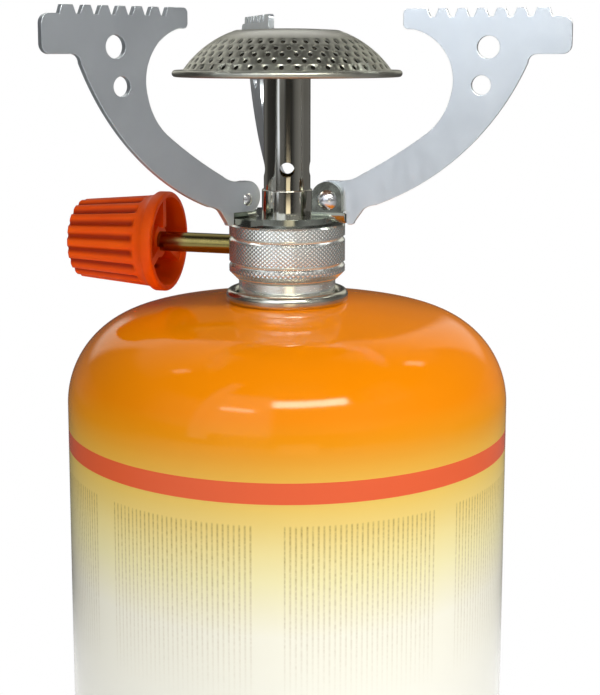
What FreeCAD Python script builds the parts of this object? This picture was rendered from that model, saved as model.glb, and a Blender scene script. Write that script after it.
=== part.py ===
"""Canister stove on a threaded gas cartridge, as a parametric assembly.

Frame: millimetres, +Z up along the axis of the cartridge and burner, origin on that axis at the
floor. Pot support 1 points along +X, supports 2 and 3 follow at 120 and 240 degrees, and the
control knob points along -X. The stove is drawn screwed home, shut off and unfolded.
"""
import FreeCAD, Part
import math
import os
import re

import Sketcher

# ------------------------------------------------------------------ driving dimensions

SIZES = [
    # cartridge
    ("can_radius", "55", "outside of the cartridge wall"),
    ("can_wall", "0.45", "steel of the shell and the base end"),
    ("cartridge_height", "153", "floor to the top of the threaded pedestal"),
    ("shoulder_radius", "22", "bend from the wall to the domed top"),
    ("crown_radius", "200", "domed top"),
    ("seam_radius", "54.4", "outside of the double seam"),
    ("seam_width", "1.8", "double seam, across"),
    ("seam_height", "3.2", "double seam, up"),
    ("seam_round", "0.4", "broken inner edge of the seam"),
    ("foot_radius", "53.9", "shell where it enters the seam"),
    ("foot_flare", "3.2", "height over which the foot opens to the wall"),
    ("base_bend", "1.4", "bend round the concave base"),
    ("base_step", "5", "height where the base starts to bend"),
    ("base_dish", "7.6", "rise of the concave base"),
    # valve cup of the cartridge
    ("cup_radius", "15.3", "outside of the clinched ring"),
    ("cup_sheet", "0.5", "sheet of the valve cup"),
    ("curl_radius", "1.35", "rounded top of the clinched ring"),
    ("curl_rise", "1.7", "straight side of the clinched ring"),
    ("curl_hollow", "0.68", "hollow under the top of the ring"),
    ("curl_bevel", "0.42", "bevelled sides of that hollow"),
    ("collar_gap", "0.2", "room for sealing compound inside the ring"),
    ("collar_height", "1.7", "collar of the shell inside the ring"),
    ("trough_depth", "9.3", "pedestal top down to the floor of the trough"),
    ("trough_bend", "1", "bends at the floor of the trough"),
    ("pedestal_rise", "5.95", "pedestal top above the shell under the ring"),
    ("pedestal_radius", "5.56", "crests of the 7/16-28 UNEF thread"),
    ("pedestal_bend", "0.8", "rounded top edge of the pedestal"),
    ("pedestal_mouth", "2.2", "hole in the top of the pedestal"),
    ("gasket_height", "1.2", "valve gasket"),
    ("gasket_mouth", "1.3", "hole in the valve gasket"),
    ("housing_depth", "11.3", "plastic valve housing"),
    ("housing_bore", "3.4", "inside of the valve housing"),
    ("housing_floor", "1.2", "floor of the valve housing"),
    ("housing_inlet", "0.8", "gas inlet in that floor"),
    ("plunger_radius", "3", "head of the plunger"),
    ("plunger_head", "2", "thickness of that head"),
    ("plunger_stem_radius", "1.3", "stem of the plunger"),
    ("plunger_stem", "4.4", "length of that stem"),
    ("plunger_stroke", "1.5", "travel that opens the valve"),
    ("spring_radius", "2.2", "mean radius of the plunger spring"),
    ("spring_wire", "0.3", "radius of its wire"),
    ("spring_turns", "3", "turns of the spring"),
    # valve body
    ("thread_gap", "0.05", "running gap in the threaded socket"),
    ("seal_room", "1.8", "room for the inlet seal above the pedestal"),
    ("seal_ring", "3.6", "mean radius of the inlet seal"),
    ("seal_section", "0.88", "radius of its section"),
    ("socket_depth", "7.8", "pedestal top down to the mouth of the socket"),
    ("socket_flare", "0.8", "lead-in at the mouth"),
    ("neck_radius", "12.1", "neck that enters the valve cup"),
    ("neck_edge", "0.5", "chamfer at the foot of the neck"),
    ("neck_height", "6.5", "straight part of the neck"),
    ("flange_radius", "12.9", "underside of the grip, inner edge"),
    ("grip_radius", "14.5", "knurled grip"),
    ("grip_groove", "0.8", "depth of the grooves round the grip"),
    ("body_rise", "13.6", "pedestal top up to the top of the grip"),
    ("top_band", "2.9", "upper band of the grip"),
    ("top_groove", "0.9", "groove below it"),
    ("middle_band", "5.2", "middle band"),
    ("band_slope", "0.3", "sloped flank below the middle band"),
    ("low_groove", "1.3", "groove below it, with its slope"),
    ("low_band", "2.3", "lower band"),
    ("grip_edge", "0.4", "chamfer round the top"),
    ("seat_radius", "8", "raised seat for the bracket"),
    ("seat_height", "0.6", "height of that seat"),
    ("spigot_radius", "4.9", "spigot through the bracket"),
    ("spigot_height", "3.5", "spigot above the bracket"),
    ("gas_way", "0.8", "gas way to the jet"),
    ("inlet_way", "0.6", "gas way from the inlet"),
    ("inlet_way_offset", "1.9", "offset of that way from the axis"),
    # actuator pin and jet
    ("pin_radius", "1.2", "actuator pin"),
    ("pin_socket", "2.2", "length of the pin held in the body"),
    ("pin_bore", "0.5", "bore of the pin"),
    ("pin_gap", "0.05", "pin tip to plunger when screwed home"),
    ("jet_stem", "1.95", "threaded stem of the jet"),
    ("jet_stem_length", "3.8", "length of that stem"),
    ("jet_flange", "3.2", "flange of the jet"),
    ("jet_flange_height", "1.8", "height of that flange"),
    ("jet_nose", "2", "nose of the jet"),
    ("jet_nose_height", "3", "height of that nose"),
    ("jet_tip", "1", "flat tip of the jet"),
    ("jet_way", "0.7", "bore of the jet"),
    ("jet_orifice", "0.2", "metering hole, with its burr-free land"),
    ("jet_land", "0.8", "length of the metering hole"),
    # spindle, its seal and gland
    ("spindle_drop", "6.1", "spindle axis below the top of the grip"),
    ("spindle_radius", "2.5", "spindle"),
    ("spindle_gap", "0.05", "running gap round the spindle"),
    ("needle_seat", "1", "seat of the needle from the axis"),
    ("needle_root", "3.2", "where the spindle steps down to its needle"),
    ("needle_radius", "1.2", "needle"),
    ("needle_shoulder", "2", "where the needle starts its taper"),
    ("needle_tip", "0.35", "blunt tip of the needle"),
    ("chamber_start", "6.8", "near end of the seal chamber"),
    ("chamber_end", "11", "far end of the seal chamber"),
    ("chamber_radius", "2.95", "seal chamber"),
    ("groove_centre", "8", "groove for the spindle seal"),
    ("groove_width", "1.6", "width of that groove"),
    ("groove_floor", "1.75", "radius at the bottom of the groove"),
    ("spindle_seal_ring", "2.34", "mean radius of the spindle seal"),
    ("spindle_seal_section", "0.57", "radius of its section"),
    ("gland_radius", "3.4", "gland bush"),
    ("gland_sink", "0.4", "gland face below the grip"),
    # knob
    ("knob_start", "31.7", "open rim of the knob from the axis"),
    ("knob_length", "24.3", "length of the knob"),
    ("knob_flange", "12.8", "flared rim"),
    ("knob_rim_round", "0.6", "rounding of the rim"),
    ("knob_flange_width", "2.6", "width of the flared rim"),
    ("knob_flare", "2.8", "length of the flare below the rim"),
    ("knob_flare_bend", "4.5", "hollow curve of the flare"),
    ("knob_root", "11.7", "ribbed body at the flare"),
    ("knob_nose", "10.2", "ribbed body at the closed end"),
    ("knob_nose_round", "0.6", "rounding of the closed end"),
    ("knob_wall", "1.4", "wall of the knob"),
    ("knob_end_wall", "2", "thickness of the closed end"),
    ("knob_ribs", "18", "number of ribs"),
    ("rib_gap", "2.2", "gap between ribs, above the surface"),
    ("rib_floor", "0.5", "gap between ribs at its floor"),
    ("rib_depth", "0.75", "depth of the gap between ribs"),
    ("hub_radius", "4.2", "hub of the knob"),
    ("hub_recess", "2.5", "hub face inside the rim"),
    ("hub_grip", "19", "length of spindle in the hub"),
    ("knob_webs", "3", "number of webs from hub to wall"),
    ("web_thickness", "1.3", "thickness of a web"),
    ("web_recess", "1.5", "edge of the webs inside the rim"),
    ("web_sink", "0.5", "webs run into hub and wall"),
    # bracket
    ("bracket_sheet", "1.5", "sheet of the bracket"),
    ("bracket_radius", "13", "round plate of the bracket"),
    ("bracket_gap", "0.1", "room round the spigot"),
    ("bend_radius", "1.3", "inside bend at the foot of an ear"),
    ("tongue_end", "15.9", "end of a tongue from the axis"),
    ("tongue_half", "4.55", "half the width of a tongue"),
    ("arm_offset", "2.2", "pot supports beside the line to the axis"),
    ("ear_start", "7.6", "inner edge of an ear"),
    ("ear_width", "7.7", "width of an ear"),
    # rivets
    ("pivot_r", "11.6", "rivet from the stove's axis"),
    ("pivot_rise", "4.3", "rivet above the bracket"),
    ("shank_radius", "1.1", "rivet shank"),
    ("shank_gap", "0.05", "running gap in the arm"),
    ("side_gap", "0.1", "gap between arm, ear and rivet"),
    ("head_radius", "2.5", "domed rivet head"),
    ("head_height", "1.6", "height of that head"),
    ("tail_radius", "1.5", "peened end of the rivet"),
    ("tail_height", "0.5", "height of that end"),
    # pot supports
    ("arm_sheet", "1.5", "plate of a pot support"),
    ("eye_radius", "4", "rounded inner end"),
    ("eye_rise", "0.6", "its centre above the rivet"),
    ("heel_gap", "0.15", "heel to the end of the tongue"),
    ("heel_drop", "3.1", "heel below the straight lower edge"),
    ("heel_round", "0.7", "rounded heel"),
    ("heel_width", "1.95", "heel across its foot"),
    ("heel_slope", "2.2", "outward slope of the heel's back"),
    ("toe_bend", "6", "bend from the heel into the outer sweep"),
    ("sweep_start_r", "23.4", "start of the outer sweep"),
    ("sweep_start_rise", "1.9", "its rise above the lower edge"),
    ("sweep_radius", "63.7", "outer sweep"),
    ("sweep_end_r", "59.1", "end of the outer sweep"),
    ("tab_bottom_rise", "35.2", "underside of the outer tab above the rivet"),
    ("tab_fillet", "2", "inside corner under the tab"),
    ("tab_end", "69", "outer end of the tab"),
    ("tab_top_rise", "43.9", "top of the tab above the rivet"),
    ("tab_corner", "2.2", "rounded corners of the tab"),
    ("tab_start", "64.4", "inner end of the tab"),
    ("tab_step", "0.6", "slope of the step up to the teeth"),
    ("rest_rise", "45.8", "tops of the teeth above the rivet"),
    ("tip_r", "29.7", "inner end of the toothed edge"),
    ("tip_drop", "4.8", "depth of that inner end"),
    ("tip_corner", "1.2", "rounded corners of that end"),
    ("bay_start_r", "32.1", "start of the concave edge"),
    ("bay_radius", "12.3", "upper bend of the concave edge"),
    ("bay_turn_r", "41.3", "end of the upper bend"),
    ("bay_turn_rise", "25.7", "its height above the rivet"),
    ("bay_low_radius", "16", "lower bend"),
    ("bay_low_r", "36", "end of the lower bend"),
    ("bay_low_rise", "16.8", "its height above the rivet"),
    ("bay_run_radius", "118", "shallow run down to the eye"),
    ("bay_run_r", "19.6", "end of that run"),
    ("bay_run_rise", "6.3", "its height above the rivet"),
    ("bay_foot_radius", "9", "last bend to the eye"),
    ("tooth_pitch", "4.58", "pitch of the teeth"),
    ("tooth_count", "6", "notches along the top"),
    ("tooth_depth", "2", "depth of a notch"),
    ("notch_first_r", "36.7", "innermost notch"),
    ("notch_mouth", "2.7", "notch at the top"),
    ("notch_floor", "1.1", "notch at the bottom"),
    ("window_radius", "2.65", "upper hole"),
    ("window_r", "49.95", "upper hole from the axis"),
    ("window_rise", "36.8", "upper hole above the rivet"),
    ("hole_radius", "2.3", "lower hole"),
    ("hole_r", "48.4", "lower hole from the axis"),
    ("hole_rise", "28", "lower hole above the rivet"),
    # tube and burner head
    ("tube_radius", "5.8", "mixing tube"),
    ("tube_wall", "0.6", "wall of the mixing tube"),
    ("tube_length", "33.4", "length of the mixing tube"),
    ("sleeve_radius", "6.3", "sleeve round the foot of the tube"),
    ("sleeve_height", "6.3", "height of that sleeve"),
    ("sleeve_edge", "0.3", "chamfer at its top"),
    ("air_holes", "4", "number of air holes"),
    ("air_hole_radius", "1.83", "air holes"),
    ("air_hole_rise", "7.9", "air holes above the foot of the tube"),
    ("air_hole_turn", "17.4", "turn of the air holes, degrees"),
    ("pan_drop", "2.8", "top of the tube above the pan"),
    ("pan_sheet", "0.6", "sheet of the pan"),
    ("pan_collar", "2.2", "height of the pan's collar"),
    ("bead_ring", "27.45", "centre of the rounded outside of the rim bead"),
    ("bead_radius", "0.85", "rounding of the rim bead, half its thickness"),
    ("bead_flat", "0.9", "flat top and underside of the rim bead"),
    ("bead_rise", "0.7", "centre of the bead above the pan's underside"),
    ("cap_sheet", "0.5", "sheet of the cap"),
    ("cap_skirt", "0.8", "straight skirt of the cap"),
    ("cap_radius", "26", "curve of the perforated band"),
    ("cap_flat_r", "12.6", "edge of the plain top"),
    ("cap_rise", "9.8", "height of the perforated band"),
    ("cap_crown", "0.4", "rise of the plain top"),
    ("port_radius", "0.62", "corner of a port from its centre"),
    ("port_columns", "43", "ports round one row"),
    ("port_rows", "5", "rows of ports"),
    ("port_low", "1", "lowest row above the skirt"),
    ("port_pitch", "1.5", "height from row to row"),
]

doc = FreeCAD.newDocument("canister_stove")
dims = doc.addObject("Spreadsheet::Sheet", "dims")
for row, (alias, number, note) in enumerate(SIZES, start=1):
    dims.set(f"A{row}", number)
    dims.setAlias(f"A{row}", alias)
    dims.set(f"B{row}", note)
doc.recompute()

# ------------------------------------------------------------------ heights that others build on

CUP_SEAT = "(cartridge_height - pedestal_rise)"
CROWN_CENTRE = f"({CUP_SEAT} - sqrt(crown_radius^2 - (cup_radius - cup_sheet)^2))"
SHOULDER_REACH = "(can_radius - shoulder_radius)"
SHOULDER_HEIGHT = f"({CROWN_CENTRE} + sqrt((crown_radius - shoulder_radius)^2 - {SHOULDER_REACH}^2))"
BODY_TOP = "(cartridge_height + body_rise)"
SOCKET_TOP = "(cartridge_height + seal_room)"
SPINDLE_HEIGHT = f"({BODY_TOP} - spindle_drop)"
BRACKET_FOOT = f"({BODY_TOP} + seat_height)"
BRACKET_TOP = f"({BRACKET_FOOT} + bracket_sheet)"
SPIGOT_TOP = f"({BRACKET_TOP} + spigot_height)"
PIVOT_HEIGHT = f"({BRACKET_TOP} + pivot_rise)"
PAN_FOOT = f"({SPIGOT_TOP} + tube_length - pan_drop)"
PLUNGER_TOP = "(cartridge_height - cup_sheet - gasket_height - plunger_stroke)"
EAR_FACE = "(arm_sheet/2 + side_gap)"
EAR_BACK = f"({EAR_FACE} + bracket_sheet)"
SUPPORT_TURNS = (0, 120, 240)
SEAL_SIDES = 8

# ------------------------------------------------------------------ drawing helpers


def bound(text):
    """The expression with each named size read from the sheet."""
    return re.sub(r"\b[a-z]\w*\b(?!\()", r"dims.\g<0>", text)


def value(text):
    """The number that an expression over the sheet gives."""
    return float(dims.evalExpression(text))


def new_body(name):
    """An empty sub-part."""
    body = doc.addObject("PartDesign::Body", name)
    body.Label = name
    return body


def new_sketch(body, name, plane, lift=None, turn=None):
    """A sketch on one of the body's own planes, raised off it or turned about its upright."""
    sketch = body.newObject("Sketcher::SketchObject", f"{body.Name}_{name}")
    support = [item for item in body.Origin.OriginFeatures if item.Role == plane][0]
    sketch.AttachmentSupport = [(support, "")]
    sketch.MapMode = "FlatFace"
    if turn is not None:
        upright = FreeCAD.Vector(0, 1, 0)
        sketch.AttachmentOffset = FreeCAD.Placement(FreeCAD.Vector(), FreeCAD.Rotation(upright, turn))
    if lift is not None:
        sketch.setExpression("AttachmentOffset.Base.z", bound(lift))
    return sketch


def fix(sketch, kind, where, axis, text):
    """Tie one coordinate of a sketch point to an expression."""
    if text == "0":
        sketch.addConstraint(Sketcher.Constraint("PointOnObject", *where, axis))
        return
    index = sketch.addConstraint(Sketcher.Constraint(kind, -1, 1, *where, value(text)))
    sketch.setExpression(f"Constraints[{index}]", bound(text))


def fix_point(sketch, where, across, up):
    """Tie a sketch point to its two coordinates."""
    fix(sketch, "DistanceX", where, -2, across)
    fix(sketch, "DistanceY", where, -1, up)


def fix_radius(sketch, index, text):
    """Tie the radius of an arc or circle."""
    constraint = sketch.addConstraint(Sketcher.Constraint("Radius", index, value(text)))
    sketch.setExpression(f"Constraints[{constraint}]", bound(text))


def arc_between(start, stop, radius, turn):
    """The short arc from start to stop that turns left or right."""
    if turn == "right":
        start, stop = stop, start
    chord = stop - start
    height = math.sqrt(max(radius**2 - chord.Length**2 / 4, 0))
    left = FreeCAD.Vector(-chord.y, chord.x, 0).normalize()
    centre = (start + stop) * 0.5 + left * height
    first = math.atan2(start.y - centre.y, start.x - centre.x)
    last = math.atan2(stop.y - centre.y, stop.x - centre.x)
    if last <= first:
        last += 2 * math.pi
    circle = Part.Circle(centre, FreeCAD.Vector(0, 0, 1), radius)
    return Part.ArcOfCircle(circle, first, last)


def outline(sketch, corners):
    """Draw a closed outline tied to the sheet.

    A corner is (across, up). Where the edge that arrives there is an arc it is
    (across, up, radius, turn), and turn says whether the edge bends left or right on its way.
    """
    spots = [FreeCAD.Vector(value(corner[0]), value(corner[1]), 0) for corner in corners]
    edges = []
    for index, corner in enumerate(corners):
        start, stop = spots[index - 1], spots[index]
        if len(corner) == 2:
            edges.append((sketch.addGeometry(Part.LineSegment(start, stop), False), 1, 2))
            continue
        radius, turn = corner[2], corner[3]
        number = sketch.addGeometry(arc_between(start, stop, value(radius), turn), False)
        edges.append((number, 1, 2) if turn == "left" else (number, 2, 1))
    for index, corner in enumerate(corners):
        edge, _, last = edges[index]
        following, first, _ = edges[(index + 1) % len(edges)]
        sketch.addConstraint(Sketcher.Constraint("Coincident", edge, last, following, first))
        fix_point(sketch, (edge, last), corner[0], corner[1])
        if len(corner) == 4:
            fix_radius(sketch, edge, corner[2])


def circle(sketch, across, up, radius):
    """Draw a circle tied to the sheet."""
    centre = FreeCAD.Vector(value(across), value(up), 0)
    round_edge = Part.Circle(centre, FreeCAD.Vector(0, 0, 1), value(radius))
    index = sketch.addGeometry(round_edge, False)
    fix_point(sketch, (index, 3), across, up)
    fix_radius(sketch, index, radius)


def turned(name, corners, axis="V_Axis"):
    """A sub-part made by turning one outline about an axis of its sketch."""
    body = new_body(name)
    sketch = new_sketch(body, "profile", "XZ_Plane")
    outline(sketch, corners)
    feature = body.newObject("PartDesign::Revolution", f"{name}_turned")
    feature.Profile = sketch
    feature.ReferenceAxis = (sketch, [axis])
    feature.Angle = 360
    doc.recompute()
    return body


def extruded(body, kind, sketch, length, both_ways=False, flip=False):
    """A Pad or Pocket from a sketch, checked to have added or removed material."""
    before = body.Shape.Volume if body.Tip else 0
    feature = body.newObject(f"PartDesign::{kind}", f"{sketch.Name}_{kind.lower()}")
    feature.Profile = sketch
    feature.setExpression("Length", bound(length))
    feature.SideType = "Symmetric" if both_ways else "One side"
    feature.Reversed = flip
    doc.recompute()
    change = body.Shape.Volume - before
    if (kind == "Pad") != (change > 0) or change == 0:
        raise RuntimeError(f"{feature.Name} changed nothing")
    return feature


def around(body, features, count, axis="Z_Axis"):
    """Repeat features in equal steps round an axis of the body."""
    pattern = body.newObject("PartDesign::PolarPattern", f"{features[0].Name}_round")
    pattern.Originals = features
    support = [item for item in body.Origin.OriginFeatures if item.Role == axis][0]
    pattern.Axis = (support, [""])
    pattern.Angle = 360
    if isinstance(count, str):
        pattern.setExpression("Occurrences", bound(count))
    else:
        pattern.Occurrences = count
    body.Tip = pattern
    doc.recompute()
    return pattern


def dish_radius(reach, rise):
    """Radius of a cap that rises over a reach from its edge to the axis."""
    return f"(({reach})^2 + ({rise})^2)/(2*({rise}))"


def seat_at(body, move):
    """Place a finished sub-part."""
    body.Placement = move
    doc.recompute()
    return body


def turn_about_z(angle):
    """A turn about the stove's axis."""
    return FreeCAD.Placement(FreeCAD.Vector(), FreeCAD.Rotation(FreeCAD.Vector(0, 0, 1), angle))


def spindle_place():
    """Where a part drawn along +X lies on the spindle's axis, which points along -X."""
    height = FreeCAD.Vector(0, 0, value(SPINDLE_HEIGHT))
    return FreeCAD.Placement(height, FreeCAD.Rotation(FreeCAD.Vector(0, 0, 1), 180))


# ------------------------------------------------------------------ cartridge


def crown_height(reach, inset="0"):
    """Height of the domed top over a radius, on its outside or a wall further in."""
    return f"{CROWN_CENTRE} + sqrt((crown_radius - {inset})^2 - ({reach})^2)"


def make_can_shell():
    """Drawn shell: necked foot, straight wall, shoulder, crown and the collar of its mouth."""
    flare_top = "seam_height + foot_flare"
    join = f"{SHOULDER_REACH}*crown_radius/(crown_radius - shoulder_radius)"
    inner_join = f"{SHOULDER_REACH}*(crown_radius - can_wall)/(crown_radius - shoulder_radius)"
    mouth = "cup_radius - 2*curl_radius + cup_sheet + collar_gap"
    collar_out = f"{mouth} + can_wall"
    collar_top = f"{CUP_SEAT} + collar_height"
    return turned("can_shell", [
        ("foot_radius", "seam_height"),
        ("can_radius", flare_top),
        ("can_radius", SHOULDER_HEIGHT),
        (join, crown_height(join), "shoulder_radius", "left"),
        (collar_out, crown_height(collar_out), "crown_radius", "left"),
        (collar_out, collar_top),
        (mouth, collar_top),
        (mouth, crown_height(mouth, "can_wall")),
        (inner_join, crown_height(inner_join, "can_wall"), "crown_radius - can_wall", "right"),
        ("can_radius - can_wall", SHOULDER_HEIGHT, "shoulder_radius - can_wall", "right"),
        ("can_radius - can_wall", flare_top),
        ("foot_radius - can_wall", "seam_height"),
    ])


def make_can_base():
    """Concave base end with the double seam that the cartridge stands on."""
    seam_in = "seam_radius - seam_width"
    dish_edge = f"{seam_in} + can_wall - base_bend"
    dish = dish_radius(dish_edge, "base_dish")
    dish_foot = "base_step + base_bend"
    return turned("can_base", [
        (f"{seam_in} + seam_round", "0"),
        ("seam_radius", "0"),
        ("seam_radius", "seam_height"),
        (f"{seam_in} + can_wall", "seam_height"),
        (f"{seam_in} + can_wall", "base_step"),
        (dish_edge, dish_foot),
        ("0", f"{dish_foot} + base_dish", dish, "left"),
        ("0", f"{dish_foot} + base_dish - can_wall"),
        (dish_edge, f"{dish_foot} - can_wall", dish, "right"),
        (seam_in, "base_step"),
        (seam_in, "seam_round"),
    ])


def make_mounting_cup():
    """Valve cup: clinched ring, trough and the pedestal that carries the rolled thread."""
    ring_in = "cup_radius - 2*curl_radius"
    curl_height = f"{CUP_SEAT} + curl_rise"
    floor = "cartridge_height - trough_depth"
    under = f"{floor} - cup_sheet"
    bend_out = "(trough_bend + cup_sheet)"
    bore = "pedestal_radius - cup_sheet"
    return turned("mounting_cup", [
        ("cup_radius", CUP_SEAT),
        ("cup_radius", curl_height),
        (ring_in, curl_height, "curl_radius", "left"),
        (ring_in, f"{floor} + trough_bend"),
        (f"{ring_in} - trough_bend", floor),
        ("pedestal_radius + trough_bend", floor),
        ("pedestal_radius", f"{floor} + trough_bend"),
        ("pedestal_radius", "cartridge_height - pedestal_bend"),
        ("pedestal_radius - pedestal_bend", "cartridge_height"),
        ("pedestal_mouth", "cartridge_height"),
        ("pedestal_mouth", "cartridge_height - cup_sheet"),
        ("pedestal_radius - pedestal_bend", "cartridge_height - cup_sheet"),
        (bore, "cartridge_height - pedestal_bend"),
        (bore, f"{under} + {bend_out}"),
        (f"{bore} + {bend_out}", under),
        (f"{ring_in} + cup_sheet - {bend_out}", under),
        (f"{ring_in} + cup_sheet", f"{under} + {bend_out}"),
        (f"{ring_in} + cup_sheet", curl_height),
        (f"{ring_in} + cup_sheet + curl_bevel", f"{curl_height} + curl_hollow"),
        ("cup_radius - cup_sheet - curl_bevel", f"{curl_height} + curl_hollow"),
        ("cup_radius - cup_sheet", curl_height),
        ("cup_radius - cup_sheet", CUP_SEAT),
    ])


def make_can_valve_gasket():
    """Rubber gasket under the top of the pedestal."""
    top = "cartridge_height - cup_sheet"
    bevel = "(pedestal_bend - cup_sheet)"
    rim = "pedestal_radius - cup_sheet"
    return turned("can_valve_gasket", [
        ("gasket_mouth", f"{top} - gasket_height"),
        (rim, f"{top} - gasket_height"),
        (rim, f"{top} - {bevel}"),
        (f"{rim} - {bevel}", top),
        ("gasket_mouth", top),
    ])


def make_can_valve_housing():
    """Plastic cup under the gasket that holds the plunger and its spring."""
    top = "(cartridge_height - cup_sheet - gasket_height)"
    floor = f"({top} - housing_depth + housing_floor)"
    rim = "pedestal_radius - cup_sheet"
    return turned("can_valve_housing", [
        ("housing_inlet", f"{top} - housing_depth"),
        (rim, f"{top} - housing_depth"),
        (rim, top),
        ("housing_bore", top),
        ("housing_bore", floor),
        ("housing_inlet", floor),
    ])


def make_can_valve_plunger():
    """Plunger, held down by the stove's pin: a sealing head and a stem inside the spring."""
    neck = f"{PLUNGER_TOP} - plunger_head"
    return turned("can_valve_plunger", [
        ("0", f"{neck} - plunger_stem"),
        ("plunger_stem_radius", f"{neck} - plunger_stem"),
        ("plunger_stem_radius", neck),
        ("plunger_radius", neck),
        ("plunger_radius", PLUNGER_TOP),
        ("0", PLUNGER_TOP),
    ])


def make_can_valve_spring():
    """Coil spring between the floor of the housing and the plunger's head."""
    floor = "(cartridge_height - cup_sheet - gasket_height - housing_depth + housing_floor)"
    room = f"({PLUNGER_TOP} - plunger_head - {floor})"
    rise = f"({room} - 2*spring_wire)"
    helix = doc.addObject("Part::Helix", "spring_helix")
    helix.setExpression("Radius", bound("spring_radius"))
    helix.setExpression("Height", bound(rise))
    helix.setExpression("Pitch", bound(f"{rise}/spring_turns"))
    wire = doc.addObject("Part::RegularPolygon", "spring_section")
    wire.Polygon = 4
    wire.setExpression("Circumradius", bound("spring_wire"))
    wire.setExpression("Placement.Base.x", bound("spring_radius"))
    wire.Placement.Rotation = FreeCAD.Rotation(FreeCAD.Vector(1, 0, 0), 90)
    spring = doc.addObject("Part::Sweep", "can_valve_spring")
    spring.Label = "can_valve_spring"
    spring.Sections = [wire]
    spring.Spine = (helix, [])
    spring.Solid = True
    spring.Frenet = True
    spring.setExpression("Placement.Base.z", bound(f"{floor} + spring_wire"))
    doc.recompute()
    return spring


# ------------------------------------------------------------------ valve body and its inner parts


def make_valve_body():
    """Turned body: threaded socket, neck, three grip bands, bracket seat, spigot and gas ways."""
    bore = "(pedestal_radius + thread_gap)"
    mouth = "cartridge_height - socket_depth"
    groove = "grip_radius - grip_groove"
    upper = f"{BODY_TOP} - top_band"
    middle = f"{upper} - top_groove"
    lower = f"{middle} - middle_band"
    bottom = f"{lower} - low_groove"
    low_edge = f"{bottom} - low_band"
    body = turned("valve_body", [
        (f"{bore} + socket_flare", mouth),
        ("neck_radius - neck_edge", mouth),
        ("neck_radius", f"{mouth} + neck_edge"),
        ("neck_radius", f"{mouth} + neck_height"),
        ("flange_radius", f"{mouth} + neck_height + flange_radius - neck_radius"),
        ("grip_radius", low_edge),
        ("grip_radius", bottom),
        (groove, f"{bottom} + band_slope"),
        (groove, f"{lower} - band_slope"),
        ("grip_radius", lower),
        ("grip_radius", middle),
        (groove, middle),
        (groove, upper),
        ("grip_radius", upper),
        ("grip_radius", f"{BODY_TOP} - grip_edge"),
        ("grip_radius - grip_edge", BODY_TOP),
        ("seat_radius", BODY_TOP),
        ("seat_radius", BRACKET_FOOT),
        ("spigot_radius", BRACKET_FOOT),
        ("spigot_radius", SPIGOT_TOP),
        ("jet_stem", SPIGOT_TOP),
        ("jet_stem", f"{SPIGOT_TOP} - jet_stem_length"),
        ("0", f"{SPIGOT_TOP} - jet_stem_length"),
        ("0", f"{SOCKET_TOP} + pin_socket"),
        ("pin_radius", f"{SOCKET_TOP} + pin_socket"),
        ("pin_radius", SOCKET_TOP),
        (bore, SOCKET_TOP),
        (bore, f"{mouth} + socket_flare"),
    ])
    drill_body(body)
    return body


def drill_body(body):
    """Spindle bore, seal chamber, gland pocket and the gas ways that join them."""
    past_grip = "grip_radius"
    stages = [
        ("spindle_bore", "needle_seat", "spindle_radius + spindle_gap"),
        ("seal_chamber", "chamber_start", "chamber_radius"),
        ("gland_pocket", "chamber_end", "gland_radius"),
    ]
    for name, start, radius in stages:
        sketch = new_sketch(body, name, "YZ_Plane", lift=f"-({start})")
        circle(sketch, "0", SPINDLE_HEIGHT, radius)
        extruded(body, "Pocket", sketch, past_grip)
    seat = new_sketch(body, "needle_seat", "YZ_Plane")
    circle(seat, "0", SPINDLE_HEIGHT, "gas_way")
    extruded(body, "Pocket", seat, "needle_seat")
    outlet = new_sketch(body, "outlet", "XY_Plane", lift=SPINDLE_HEIGHT)
    circle(outlet, "0", "0", "gas_way")
    extruded(body, "Pocket", outlet, f"{SPIGOT_TOP} - jet_stem_length - {SPINDLE_HEIGHT}", flip=True)
    inlet = new_sketch(body, "inlet", "XY_Plane", lift=SOCKET_TOP)
    circle(inlet, "-inlet_way_offset", "0", "inlet_way")
    extruded(body, "Pocket", inlet, f"{SPINDLE_HEIGHT} - {SOCKET_TOP}", flip=True)


def seal_section_corners(ring, height, section):
    """Eight-sided section of a pressed rubber seal, with its flats on the faces that hold it."""
    corners = []
    for step in range(SEAL_SIDES):
        angle = (step + 0.5) * 360 / SEAL_SIDES
        corners.append((f"{ring} + {section}*cos({angle})", f"{height} + {section}*sin({angle})"))
    return corners


def make_inlet_oring():
    """Seal between the pedestal and the top of the socket."""
    height = "cartridge_height + seal_room/2"
    return turned("inlet_oring", seal_section_corners("seal_ring", height, "seal_section"))


def make_actuator_pin():
    """Hollow pin that pushes the cartridge valve open."""
    tip = f"{PLUNGER_TOP} + pin_gap"
    return turned("actuator_pin", [
        ("pin_bore", tip),
        ("pin_radius", tip),
        ("pin_radius", f"{SOCKET_TOP} + pin_socket"),
        ("pin_bore", f"{SOCKET_TOP} + pin_socket"),
    ])


def make_jet():
    """Brass jet on top of the spigot: stem, flange, nose and the fine metering hole."""
    foot = f"{SPIGOT_TOP} - jet_stem_length"
    shoulder = f"{SPIGOT_TOP} + jet_flange_height"
    tip = f"{shoulder} + jet_nose_height"
    return turned("jet", [
        ("jet_way", foot),
        ("jet_stem", foot),
        ("jet_stem", SPIGOT_TOP),
        ("jet_flange", SPIGOT_TOP),
        ("jet_flange", shoulder),
        ("jet_nose", shoulder),
        ("jet_nose", f"{tip} - jet_land"),
        ("jet_tip", tip),
        ("jet_orifice", tip),
        ("jet_orifice", f"{tip} - jet_land"),
        ("jet_way", f"{tip} - jet_land"),
    ])


# ------------------------------------------------------------------ spindle and knob


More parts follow.
